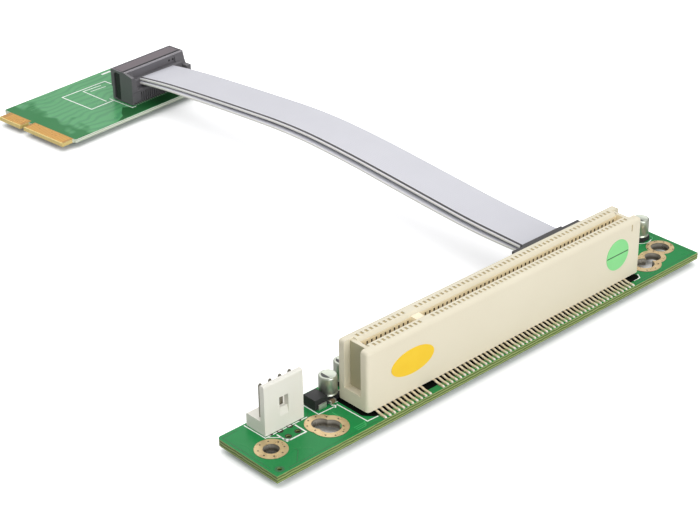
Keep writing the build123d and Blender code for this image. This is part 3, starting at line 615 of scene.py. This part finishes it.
outer_steps = slot_rounding * (1 - np.cos(np.linspace(0, math.pi / 2, rounding_steps)))
x_breaks = np.unique(np.round(np.concatenate([
    slot_left + outer_steps, slot_right - outer_steps,
    [slot_left + recess_depth, slot_right - recess_depth],
    [slot_left + recess_depth + channel_wall, slot_right - recess_depth - channel_wall],
    contact_places - pocket_half_along, contact_places + pocket_half_along,
    [key_middle - key_half, key_middle + key_half],
]), 4))
y_breaks = np.unique(np.round(np.concatenate([
    slot_near + outer_steps, slot_far - outer_steps,
    [slot_middle - recess_half, slot_middle + recess_half],
    [slot_middle + side * (channel_half + out) for side in (-1, 1) for out in (0, channel_lip)],
    [row + side * pocket_half_away for row in pocket_rows for side in (-1, 1)],
]), 4))
cell_x = (x_breaks[:-1] + x_breaks[1:]) / 2
cell_y = (y_breaks[:-1] + y_breaks[1:]) / 2
across_x, across_y = np.meshgrid(cell_x, cell_y, indexing="ij")
from_middle = np.abs(across_y - slot_middle)
from_end = np.minimum(across_x - slot_left, slot_right - across_x)
from_contact = np.min(np.abs(across_x[..., None] - contact_places), axis=-1)
from_row = np.min(np.abs(across_y[..., None] - np.array(pocket_rows)), axis=-1)
at_key = np.abs(across_x - key_middle) < key_half
inner = from_end > recess_depth + channel_wall
in_recess = (from_end < recess_depth) & (from_middle < recess_half)
in_wall = (from_end > recess_depth) & ~inner & (from_middle < recess_half)
in_channel = inner & (from_middle < channel_half)
in_lip = inner & (from_middle > channel_half) & (from_middle < channel_half + channel_lip)
in_pocket = (from_contact < pocket_half_along) & (from_row < pocket_half_away)
cell_high = np.full(across_x.shape, slot_top)
cell_high[in_wall] = slot_top - recess_drop
cell_high[in_channel] = channel_floor
cell_high[in_channel & at_key] = slot_top - key_drop
cell_high[in_pocket] = pocket_floor
cell_high[in_recess] = recess_floor


def doubled(values):
    """Each cell value twice along both directions, for the two sides of every break."""
    return np.repeat(np.repeat(values, 2, axis=0), 2, axis=1)


# Every break has a point on each of its sides, so that two cells of unlike height get an upright wall
# between them; the points come together wherever their cells are level.
side_x = np.repeat(x_breaks, 2)[1:-1]
side_y = np.repeat(y_breaks, 2)[1:-1]
point_x, point_y = np.meshgrid(side_x, side_y, indexing="ij")
inward_x = np.clip(slot_rounding - np.minimum(point_x - slot_left, slot_right - point_x), 0, None)
inward_y = np.clip(slot_rounding - np.minimum(point_y - slot_near, slot_far - point_y), 0, None)
reach = np.maximum(inward_x, inward_y)
square = np.hypot(inward_x, inward_y)
pull = np.divide(reach, square, out=np.ones_like(reach), where=square > 0)
point_x = point_x + np.sign(point_x - 0.5 * (slot_left + slot_right)) * inward_x * (pull - 1)
point_y = point_y + np.sign(point_y - slot_middle) * inward_y * (pull - 1)
rounded_top = slot_top - slot_rounding + np.sqrt(np.clip(slot_rounding ** 2 - reach ** 2, 0, None))
lip_top = np.where(
    doubled(in_lip), slot_top - (channel_half + channel_lip - np.abs(point_y - slot_middle)), slot_top
)
point_z = np.minimum(np.minimum(doubled(cell_high), rounded_top), lip_top)
top_points = np.stack([point_x, point_y, point_z], axis=-1)
rim = np.concatenate([
    top_points[:, 0], top_points[-1, 1:], top_points[-2::-1, -1], top_points[0, -2:0:-1],
])
foot_rim = rim * [1, 1, 0] + [0, 0, slot_low]
rows, columns = point_x.shape
top_faces = grid_faces(rows, columns)[:, ::-1]
rim_start = rows * columns
wall_faces = rim_start + np.roll(grid_faces(2, len(rim), across=True)[:, ::-1], 1, axis=1)
base_middle = rim_start + 2 * len(rim)
foot_index = np.arange(rim_start + len(rim), base_middle)
base_faces = np.column_stack([np.roll(foot_index, -1), foot_index, np.full(len(rim), base_middle)])
all_points = np.vstack([
    top_points.reshape(-1, 3), rim, foot_rim,
    [[(slot_left + slot_right) / 2, slot_middle, slot_low]],
])


def joined(points, quads, triangles):
    """The points with those in one place made one, and the triangles that still have three corners."""
    places, index = np.unique(np.round(points, 5), axis=0, return_inverse=True)
    faces = index.ravel()[np.vstack([quads[:, [0, 1, 2]], quads[:, [0, 2, 3]], triangles])]
    return places, faces[np.all(faces != np.roll(faces, -1, axis=1), axis=1)]


housing_points, housing_faces = joined(all_points, np.vstack([top_faces, wall_faces]), base_faces)
housing = add_piece(
    "slot_body", on_board(riser_frame, housing_points), housing_faces.tolist(), slot_ivory
)
sharp_from = math.radians(35)
smooth(housing)
housing.data.set_sharp_from_angle(angle=sharp_from)
# Painted light: the channel's walls get a paler copy of the ivory and a faint glow, standing in for the
# light that reaches down into the channel
channel_painted_glow = 0.15
channel_painted_light = finish("channel_painted_light", ((244, 232, 202), (252, 242, 216)), 0.02, (0.5, 0.6))
shader_of(channel_painted_light).inputs["Emission Color"].default_value = screen(206, 188, 150)
shader_of(channel_painted_light).inputs["Emission Strength"].default_value = channel_painted_glow
housing.data.materials.append(channel_painted_light)
face_middle = housing_points[housing_faces].mean(axis=1)
channel_end = (slot_right - slot_left) / 2 - recess_depth - channel_wall
lit = (
    (np.abs(face_middle[:, 1] - slot_middle) < channel_half + 0.01)
    & (np.abs(face_middle[:, 0] - (slot_left + slot_right) / 2) < channel_end + 0.01)
    & (face_middle[:, 2] > slot_low + 1)
)
housing.data.polygons.foreach_set("material_index", lit.astype(int))
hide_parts("slot_housing")
foot_inset = slot_rounding
prisms(
    "slot_feet", riser_frame,
    [
        rectangle(x, x + slot_foot, slot_near + foot_inset, slot_far - foot_inset)
        for x in (slot_left + foot_inset, slot_right - foot_inset - slot_foot)
    ],
    0.0, slot_low + 0.1, slot_ivory,
)
# Dark brown contacts in the channel: painted shade, for the shaded openings in the walls where the contacts
# sit
contact_shade = finish("contact_shade", ((46, 36, 20), (72, 58, 32)), 0.001, (0.3, 0.45))
contact_half, contact_proud, contact_drop = 0.18, 0.06, 1.3
for row, side in (("front", -1), ("rear", 1)):
    wall = slot_middle + side * channel_half
    edges = sorted((wall - side * contact_proud, wall + side * 0.05))
    contacts = prisms(
        f"slot_contact_row_{row}", riser_frame,
        [rectangle(x - contact_half, x + contact_half, *edges) for x in contact_places],
        channel_floor - 0.1, slot_top - contact_drop, contact_shade,
    )
    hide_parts(f"slot_contacts_{row}")
# Springs that fill each pocket in dull ochre: gilt springs together with painted shade for the pockets'
# depth
spring_half_along, spring_half_away = 0.26, 0.46
pocket_gilt_in_shade = finish("pocket_gilt_in_shade", ((176, 156, 104), (198, 178, 128)), 0.001, (0.4, 0.5))
prisms(
    "pocket_springs", riser_frame,
    [
        rectangle(x - spring_half_along, x + spring_half_along, y - spring_half_away, y + spring_half_away)
        for x in contact_places for y in pocket_rows
    ],
    pocket_floor - 0.2, slot_top - 0.14, pocket_gilt_in_shade,
)
# Darker ivory panels on the recesses' inner walls: painted shade of the deep recesses
recess_shade = finish("recess_shade", ((176, 170, 140), (186, 180, 150)), 0.006, (0.5, 0.6), 0.2, 0.0004)
prisms(
    "recess_shade_panels", riser_frame,
    [
        rectangle(x - 0.05, x + 0.05, slot_middle - recess_half + 0.05, slot_middle + recess_half - 0.05)
        for x in (slot_left + recess_depth, slot_right - recess_depth)
    ],
    recess_floor - 0.05, slot_top - recess_drop - 0.12, recess_shade,
)
# A short upright darker strip on the slot's front near its right end: painted shade of a groove that is not
# cut
groove_shade = finish("groove_shade", ((176, 156, 112), (190, 170, 126)), 0.002, (0.5, 0.6))
bars(
    "slot_groove_shade", riser_frame,
    [(rectangle(slot_near - 0.012, slot_near + 0.05, 12.1, 13.75), slot_right - 3.5, slot_right - 3.2)],
    groove_shade,
)
# Painted shadow: a near-black sheet on the board under the slot and beside its left end, where the
# housing's shadow falls between the leads
slot_shadow_black = finish("slot_shadow_black", ((2, 5, 3), (4, 9, 6)), 0.004, (0.8, 0.9), specular=0.1)
slot_shadow_outline = [
    (26.1, 4.2), (27.6, 2.4), (29.0, 1.75), (109.6, 1.75), (110.9, 2.4), (110.9, 13.2), (26.1, 13.2),
]
prisms("slot_shadow_sheet", riser_frame, [slot_shadow_outline], 0.0, 0.02, slot_shadow_black)

# Leads of the slot: tinned strips that come out under its long sides, bend down and lie flat on their
# pads, each wetted with solder round its foot.
lead_shift = -1.5
lead_places = contact_places + lead_shift
lead_half = 0.29
lead_thick = 0.2
front_path = ((4.1, 0.34), (3.1, 0.34), (2.75, 0.31), (2.35, 0.17), (2.0, 0.1), (1.6, 0.06), (0.32, 0.05))
rear_reach = 15.42
rear_path = (
    (rear_reach - 4.28, 0.34),
    *((rear_reach + 0.05 - away, height) for away, height in front_path[1:-1]),
    (14.0, 0.05),
)


def bent_strips(name, places, half, thick, path, material):
    """Strips at each place along: a rectangle is carried on one bent path of distance and height."""
    path = np.array(path)
    count = len(path)
    shape = np.array([
        [side * half, away, height + lift] for away, height in path
        for side, lift in ((-1, 0.0), (1, 0.0), (1, thick), (-1, thick))
    ])
    body = grid_faces(count, 4, across=True).tolist() + [[3, 2, 1, 0]]
    body.append([4 * count - 4 + k for k in range(4)])
    if path[-1, 0] > path[0, 0]:
        body = [face[::-1] for face in body]
    return at_each(name, riser_frame, [(x, 0.0) for x in places], shape, body, material)


lead_tin = finish(
    "lead_tin", ((206, 190, 154), (244, 236, 216)), 0.0016, (0.3, 0.45), 0.2, 0.0003, metallic=0.6
)
for row, path in (("front", front_path), ("rear", rear_path)):
    leads = bent_strips(
        f"slot_leads_{row}_row", lead_places, lead_half, lead_thick, path, lead_tin
    )
    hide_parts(f"slot_leads_{row}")
pad_half = 0.36
pad_lift = 0.03
for row, near, far in (("front", 0.12, 1.75), ("rear", 12.6, 14.35)):
    pads = [rectangle(x - pad_half, x + pad_half, near, far) for x in lead_places]
    prisms(f"lead_pads_{row}", riser_frame, pads, 0.0, pad_lift, gold_wash)


def mounds(name, board, places, half_along, half_away, base, rise, material, rings=4, corners=10):
    """Solder mounds: half an ellipsoid on a flat base at each place; a negative rise hangs them below."""
    tilt = np.linspace(0, math.pi / 2, rings + 1)[:-1, None]
    flat_x, flat_y = ring_of((0, 0), 1, corners).T * np.array([[half_along], [half_away]])
    high = base + rise * np.sin(tilt) * np.ones(corners)
    shape = np.stack([np.cos(tilt) * flat_x, np.cos(tilt) * flat_y, high], axis=-1).reshape(-1, 3)
    shape = np.vstack([shape, [[0, 0, base + rise]]])
    tip = rings * corners
    last = tip - corners
    body = grid_faces(rings, corners, across=True).tolist()
    body += [[last + k, last + (k + 1) % corners, tip] for k in range(corners)]
    body.append(list(range(corners))[::-1])
    if rise < 0:
        body = [face[::-1] for face in body]
    piece = at_each(name, board, places, shape, body, material)
    smooth(piece)


lead_solder = finish(
    "lead_solder", ((226, 222, 208), (250, 248, 240)), 0.001, (0.3, 0.4), 0.1, 0.0005, metallic=0.3
)
mound_along, mound_away, mound_rise = 0.34, 0.5, 0.27
for row, foot in (("front", 0.55), ("rear", 13.9)):
    mounds(
        f"lead_solder_{row}", riser_frame, [(x, foot) for x in lead_places],
        mound_along, mound_away, pad_lift, mound_rise, lead_solder,
    )

# Two paper stickers on the slot's front, left blank: an oval yellow one, and a round green one with one
# printed line across it.
yellow_paper = finish("yellow_paper", ((248, 202, 22), (254, 214, 44)), 0.004, (0.3, 0.38), 0.06, coat=0.2)
green_paper = finish("green_paper", ((134, 222, 140), (148, 232, 152)), 0.004, (0.3, 0.38), 0.06, coat=0.2)
sticker_ink = finish("sticker_ink", ((44, 78, 50), (56, 92, 62)), 0.002, (0.5, 0.6))
dress("yellow_sticker", yellow_paper)
dress("green_sticker", green_paper)
green_middle = (103.7, 7.86)
sticker_front = 3.18
line_half_length, line_half_height = 3.6, 0.12
bars(
    "sticker_line", riser_frame,
    [(
        rectangle(
            sticker_front - 0.015, sticker_front + 0.02,
            green_middle[1] - line_half_height, green_middle[1] + line_half_height,
        ),
        green_middle[0] - line_half_length, green_middle[0] + line_half_length,
    )],
    sticker_ink,
)

# Power header: a white nylon housing with a locking wall, and square tinned pins with solder under the
# board.
nylon_white = finish("nylon_white", ((228, 225, 214), (238, 236, 227)), 0.008, (0.35, 0.45), 0.12)
pin_grey = finish("pin_grey", ((112, 108, 96), (168, 164, 150)), 0.0012, (0.3, 0.45), metallic=0.7)
header_left, header_right, header_near = 7.15, 17.31, 11.85
header_wall_back, header_back = 13.15, 17.65
window_left, window_right = 11.05, 13.41
window_low, window_high = 4.66, 7.5
header_base, header_top = 3.0, 11.5
top_bevel, base_bevel = 0.25, 0.2
header_full = [
    (header_near, 0), (header_wall_back, 0), (header_wall_back, header_top - top_bevel),
    (header_wall_back - top_bevel, header_top), (header_near + top_bevel, header_top),
    (header_near, header_top - top_bevel),
]
header_over = [(header_near, window_high), (header_wall_back, window_high)] + header_full[2:]
header_under = [
    (header_near, 0), (header_wall_back, 0), (header_wall_back, window_low),
    (header_near + 0.5, window_low), (header_near + 0.02, header_base),
]
header_block = [
    (header_wall_back, 0), (header_back, 0), (header_back, header_base - base_bevel),
    (header_back - base_bevel, header_base), (header_wall_back, header_base),
]
header_body = bars(
    "header_body", riser_frame,
    [
        (header_full, header_left, window_left), (header_full, window_right, header_right),
        (header_over, window_left, window_right), (header_under, window_left, window_right),
        (header_block, header_left, header_right),
    ],
    nylon_white,
)
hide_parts("power_header_housing")
dress("power_header_pins", pin_grey)
# Solder round the pins and tails where they come out under the board
solder = finish(
    "solder", ((196, 196, 190), (232, 232, 226)), 0.001, (0.18, 0.34), 0.15, 0.0005, metallic=0.9
)
pin_places = [(12.23 + 2.54 * (k - 1.5), 14.4) for k in range(4)]
tail_places = [(97.35 + 1.27 * (k - 7.5), 16.75) for k in range(16)]
under_riser = -1.6
mounds("pin_solder", riser_frame, pin_places, 0.85, 0.85, under_riser, -0.75, solder, 5, 14)
mounds("tail_solder", riser_frame, tail_places, 0.55, 0.55, under_riser, -0.6, solder, 5, 12)
# The peg holes are dark discs: painted shade
prisms(
    "header_peg_holes", riser_frame, [ring_of((8.5, 11.72), 0.4, 12), ring_of((16.0, 11.72), 0.4, 12)],
    0.0, 0.03, hole_shade,
)

# Diode, chips and small chip parts: a body of black moulded epoxy or tan ceramic, with tinned leads or end
# caps that are soldered flat onto the boards. The connectors' leads have the same bare tin.
epoxy_black = finish("epoxy_black", ((22, 22, 23), (38, 38, 40)), 0.003, (0.45, 0.6), 0.4)
ceramic_tan = finish("ceramic_tan", ((112, 92, 72), (134, 112, 88)), 0.001, (0.4, 0.5), 0.1)
for material, nodes in (
    (epoxy_black, ("diode_body", "capacitor_bases", "bridge_chip_body")),
    (ceramic_tan, ("riser_chip_bodies", "card_chip_bodies")),
    (tin_bare, ("diode_leads", "capacitor_leads", "riser_chip_ends", "card_chip_ends")),
    (tin_bare, ("bridge_chip_leads", "card_socket_leads", "riser_cable_tails")),
):
    for node in nodes:
        dress(node, material)

# Capacitors: drawn aluminium cans, rolled in over their black base, with a rounded shoulder and a sunk top
# on which a dark segment marks one pole.
can_metal = finish(
    "can_metal", ((176, 182, 168), (214, 219, 206)), 0.004, (0.32, 0.4), 0.1, 0.0008, metallic=0.85
)
can_mark = finish("can_mark", ((54, 56, 54), (70, 72, 70)), 0.001, (0.4, 0.5))
can_places = ((26.07, 14.24), (32.0, 16.2), (125.3, 14.0))
can_radius = 2.0
can_low = 0.9
can_high = 5.4
can_profile = [
    (0.0, can_low), (1.8, can_low), (1.93, can_low + 0.06), (can_radius, can_low + 0.18),
    (can_radius, can_low + 0.3), (1.9, can_low + 0.42), (1.84, can_low + 0.55), (1.9, can_low + 0.68),
    (can_radius, can_low + 0.8),
    (can_radius, can_high - 0.42), (1.97, can_high - 0.24), (1.86, can_high - 0.1), (1.72, can_high - 0.02),
    (1.6, can_high), (1.5, can_high - 0.04), (0.0, can_high - 0.04),
]


def turned(name, board, places, profile, material, corners=48):
    """Pieces turned about an upright axis at each place: a profile of radius and height goes round it."""
    around_x, around_y = ring_of((0, 0), 1, corners).T
    middle = np.array(profile[1:-1])
    radius, height = middle[:, :1], middle[:, 1:]
    wall = [radius * around_x, radius * around_y, height * np.ones(corners)]
    wall = np.stack(wall, axis=-1).reshape(-1, 3)
    shape = np.vstack([wall, [[0, 0, profile[0][1]], [0, 0, profile[-1][1]]]])
    rows = len(middle)
    bottom, top = rows * corners, rows * corners + 1
    last = (rows - 1) * corners
    body = grid_faces(rows, corners, across=True).tolist()
    body += [[(k + 1) % corners, k, bottom] for k in range(corners)]
    body += [[last + k, last + (k + 1) % corners, top] for k in range(corners)]
    piece = at_each(name, board, places, shape, body, material)
    smooth(piece)
    return piece


cans = turned("capacitor_shells", riser_frame, can_places, can_profile, can_metal)
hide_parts("capacitor_cans")
mark_radius = 1.45
mark_turns = np.linspace(math.radians(115), math.radians(245), 16)
mark_arc = mark_radius * np.column_stack([np.cos(mark_turns), np.sin(mark_turns)])
prisms(
    "can_marks", riser_frame, [mark_arc + np.array(place) for place in can_places],
    can_high - 0.05, can_high - 0.02, can_mark,
)

# Cable connectors: dark grey glass-filled plastic with a paler cover strip and clamps that press the two
# cable layers onto the contacts.
grey_plastic = finish("grey_plastic", ((98, 96, 100), (112, 110, 114)), 0.006, (0.38, 0.5), 0.35, 0.0003)
strip_plastic = finish("strip_plastic", ((140, 130, 141), (158, 148, 158)), 0.006, (0.4, 0.5), 0.4, 0.0003)
bar_plastic = finish("bar_plastic", ((56, 54, 54), (68, 66, 66)), 0.006, (0.38, 0.5), 0.35, 0.0003)
for node in ("riser_cable_body", "riser_cable_clamp"):
    dress(node, bar_plastic)
for node in ("card_socket_body", "card_plug_body", "card_cable_clamp"):
    dress(node, grey_plastic)
dress("card_cover_strip", strip_plastic)
plug_left, plug_right = 24.75, 46.95
plug_face, plug_high = 7.6, 9.04
rim_highlight = finish("rim_highlight", ((150, 148, 152), (170, 167, 172)), 0.004, (0.35, 0.45), 0.3, 0.0003)
# Near-black for the plug's gap, grooves and eyelet holes: painted shade of these hollows
gap_shade = finish("gap_shade", ((22, 22, 24), (34, 34, 36)), 0.004, (0.5, 0.6))
cheek = [
    (plug_face + 0.1, 8.7), (plug_face - 0.15, 8.3), (7.0, 6.6), (6.3, 5.0), (5.3, 4.1), (4.65, 3.4),
    (4.65, 0.9), (plug_face + 0.1, 0.9),
]
bars(
    "plug_cheeks", card_frame, [(cheek, plug_left + 0.02, 27.7), (cheek, 43.6, plug_right - 0.02)],
    grey_plastic,
)
# A pale strip along the plug's top front edge: painted highlight of the edge
rim_profile = [
    (plug_face - 0.04, plug_high - 0.3), (plug_face + 0.3, plug_high - 0.3),
    (plug_face + 0.3, plug_high + 0.03), (plug_face + 0.05, plug_high + 0.03),
    (plug_face - 0.04, plug_high - 0.1),
]
bars(
    "plug_rim_highlight", card_frame, [(rim_profile, plug_left + 0.1, plug_right - 0.1)], rim_highlight,
)
plug_top_dark = finish("plug_top_dark", ((92, 82, 88), (112, 100, 106)), 0.003, (0.4, 0.5), 0.3, 0.0003)
# A dark line along the top between rim and panel: painted shade of the gap
groove_profile = rectangle(8.35, 8.9, plug_high - 0.2, plug_high + 0.02)
bars(
    "plug_top_groove", card_frame, [(groove_profile, plug_left + 0.05, plug_right - 0.05)],
    gap_shade,
)
panel_profile = rectangle(8.9, 12.3, plug_high - 0.2, plug_high + 0.02)
bars(
    "plug_top_panel", card_frame, [(panel_profile, plug_left + 0.6, plug_right - 0.6)],
    plug_top_dark,
)
# Dark strips on the plug's ends: painted shade of the end grooves
end_profile = rectangle(9.5, 11.1, 0.6, 8.3)
bars(
    "plug_end_grooves", card_frame,
    [
        (end_profile, plug_left - 0.03, plug_left + 0.2),
        (end_profile, plug_right - 0.2, plug_right + 0.03),
    ],
    gap_shade,
)
# Dark discs on the plug's front: painted shade of the eyelet holes
eyelet_height, eyelet_radius = 7.55, 0.32
blocks(
    "plug_eyelets", card_frame,
    [
        [
            [(along, away, up) for along, up in ring_of((x, eyelet_height), eyelet_radius, 10)]
            for away in (plug_face - 0.03, plug_face + 0.2)
        ]
        for x in (41.6, 43.0, 44.4, 45.6)
    ],
    gap_shade,
)

# Edge fingers of the small card: hard gold plated over copper on both faces of the tongue, in two blocks
# with a keying gap between them. Their tips and the tongue's cut sides look paler.
finger_gold = finish(
    "finger_gold", ((196, 142, 56), (222, 172, 84)), 0.004, (0.25, 0.36), 0.1, metallic=0.6
)
finger_tan = finish("finger_tan", ((172, 120, 44), (198, 148, 66)), 0.003, (0.3, 0.4), metallic=0.4)
finger_pale = finish("finger_pale", ((236, 206, 120), (252, 232, 160)), 0.002, (0.3, 0.4), metallic=0.3)
tongue_blocks = ((0.8, 16.9), (18.4, 27.3))
tongue_tip = -4.0
tongue_rim = 0.015
finger_half = 0.29
finger_rows = [2.05 + 0.8 * k for k in range(18)] + [19.65 + 0.8 * k for k in range(8)]
prisms(
    "tongue_wash", card_frame,
    [rectangle(tongue_tip + 0.03, 0.0, near + 0.05, far - 0.05) for near, far in tongue_blocks],
    0.0, 0.02, finger_tan,
)
prisms(
    "tongue_sides", card_frame,
    [
        rectangle(tongue_tip - tongue_rim, -0.5, near - tongue_rim, far + tongue_rim)
        for near, far in tongue_blocks
    ],
    -card_thickness + 0.01, -0.01, finger_pale,
)
prisms(
    "tongue_tips", card_frame,
    [rectangle(tongue_tip + 0.02, -3.6, near + 0.03, far - 0.03) for near, far in tongue_blocks],
    0.0, 0.035, finger_pale,
)
finger_strips = prisms(
    "finger_strips", card_frame,
    [rectangle(-3.7, -0.3, row - finger_half, row + finger_half) for row in finger_rows],
    0.0, 0.05, finger_gold,
)
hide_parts("edge_fingers_top")
dress("edge_fingers_bottom", finger_gold)

# Crystal under the card: a drawn steel can with rounded ends, soldered flat onto the board. It has the
# capacitor cans' bare metal.
dress("clock_crystal", can_metal)

# Studio: a white floor under the lowest pieces and a soft sky. A large lamp in front is the key light, a
# weak one fills the shade on the left, and the largest one lights the tops from above and behind.
floor_reach = 3.0
floor_height = -0.0001
floor_mesh = bpy.data.meshes.new("floor")
floor_corners = rectangle(-floor_reach, floor_reach, -floor_reach, floor_reach)
floor_mesh.from_pydata([(x, y, floor_height) for x, y in floor_corners], [], [[0, 1, 2, 3]])
floor = bpy.data.objects.new("floor", floor_mesh)
bpy.context.scene.collection.objects.link(floor)
floor_white = bpy.data.materials.new("floor_white")
floor_white.use_nodes = True
floor_shader = shader_of(floor_white)
floor_shader.inputs["Roughness"].default_value = 0.9
floor_shader.inputs["Specular IOR Level"].default_value = 0.0
floor_shader.inputs["Emission Color"].default_value = (1, 1, 1, 1)
floor_links = floor_white.node_tree.links
# The camera sees a whiter floor than the object's pieces do
seen = add_node(floor_white, "LightPath", {}).outputs["Is Camera Ray"]
floor_tone = mix(floor_white, seen, (0.55, 0.55, 0.55, 1), (0.97, 0.97, 0.97, 1))
floor_links.new(floor_tone, floor_shader.inputs["Base Color"])
# It glows for the camera, and less so close to an edge, by the part of the near sky that it still sees: a
# painted contact shadow round the boards
floor_glow = 0.5
shade_reach = 0.006
contact_shade_ao = add_node(floor_white, "AmbientOcclusion", {"Distance": shade_reach}).outputs["AO"]
glow_here = calculate(floor_white, "MULTIPLY", contact_shade_ao, floor_glow)
glow = calculate(floor_white, "MULTIPLY", seen, glow_here)
floor_links.new(glow, floor_shader.inputs["Emission Strength"])
floor_mesh.materials.append(floor_white)

sky_light, sky_seen = 0.32, 1.0
world = bpy.data.worlds.new("studio")
bpy.context.scene.world = world
world.use_nodes = True
sky = world.node_tree.nodes["Background"]
sky.inputs["Color"].default_value = (1.0, 1.0, 1.0, 1)
from_camera = add_node(world, "LightPath", {}).outputs["Is Camera Ray"]
sky_level = ramp(world, from_camera, 0.0, 1.0, sky_light, sky_seen)
world.node_tree.links.new(sky_level, sky.inputs["Strength"])


def lamp(name, spot, size, power):
    """A square lamp at a spot, turned to face the middle of the scene."""
    data = bpy.data.lights.new(name, "AREA")
    data.size = size
    data.energy = power
    light = bpy.data.objects.new(name, data)
    bpy.context.scene.collection.objects.link(light)
    outward = np.array(spot) / np.linalg.norm(spot)
    side = np.cross([0, 1, 0], outward)
    side = side / np.linalg.norm(side)
    over = np.cross(outward, side)
    axes = [[side[k], over[k], outward[k], spot[k]] for k in range(3)]
    light.matrix_world = np.array(axes + [[0, 0, 0, 1]]).T.tolist()


lamp("key_lamp", (-0.12, -0.95, 0.26), 0.7, 6.3)
lamp("left_lamp", (-0.85, -0.25, 0.35), 0.6, 0.5)
lamp("top_lamp", (0.15, 0.35, 0.85), 1.6, 10.6)

bpy.context.scene.view_settings.view_transform = "Standard"
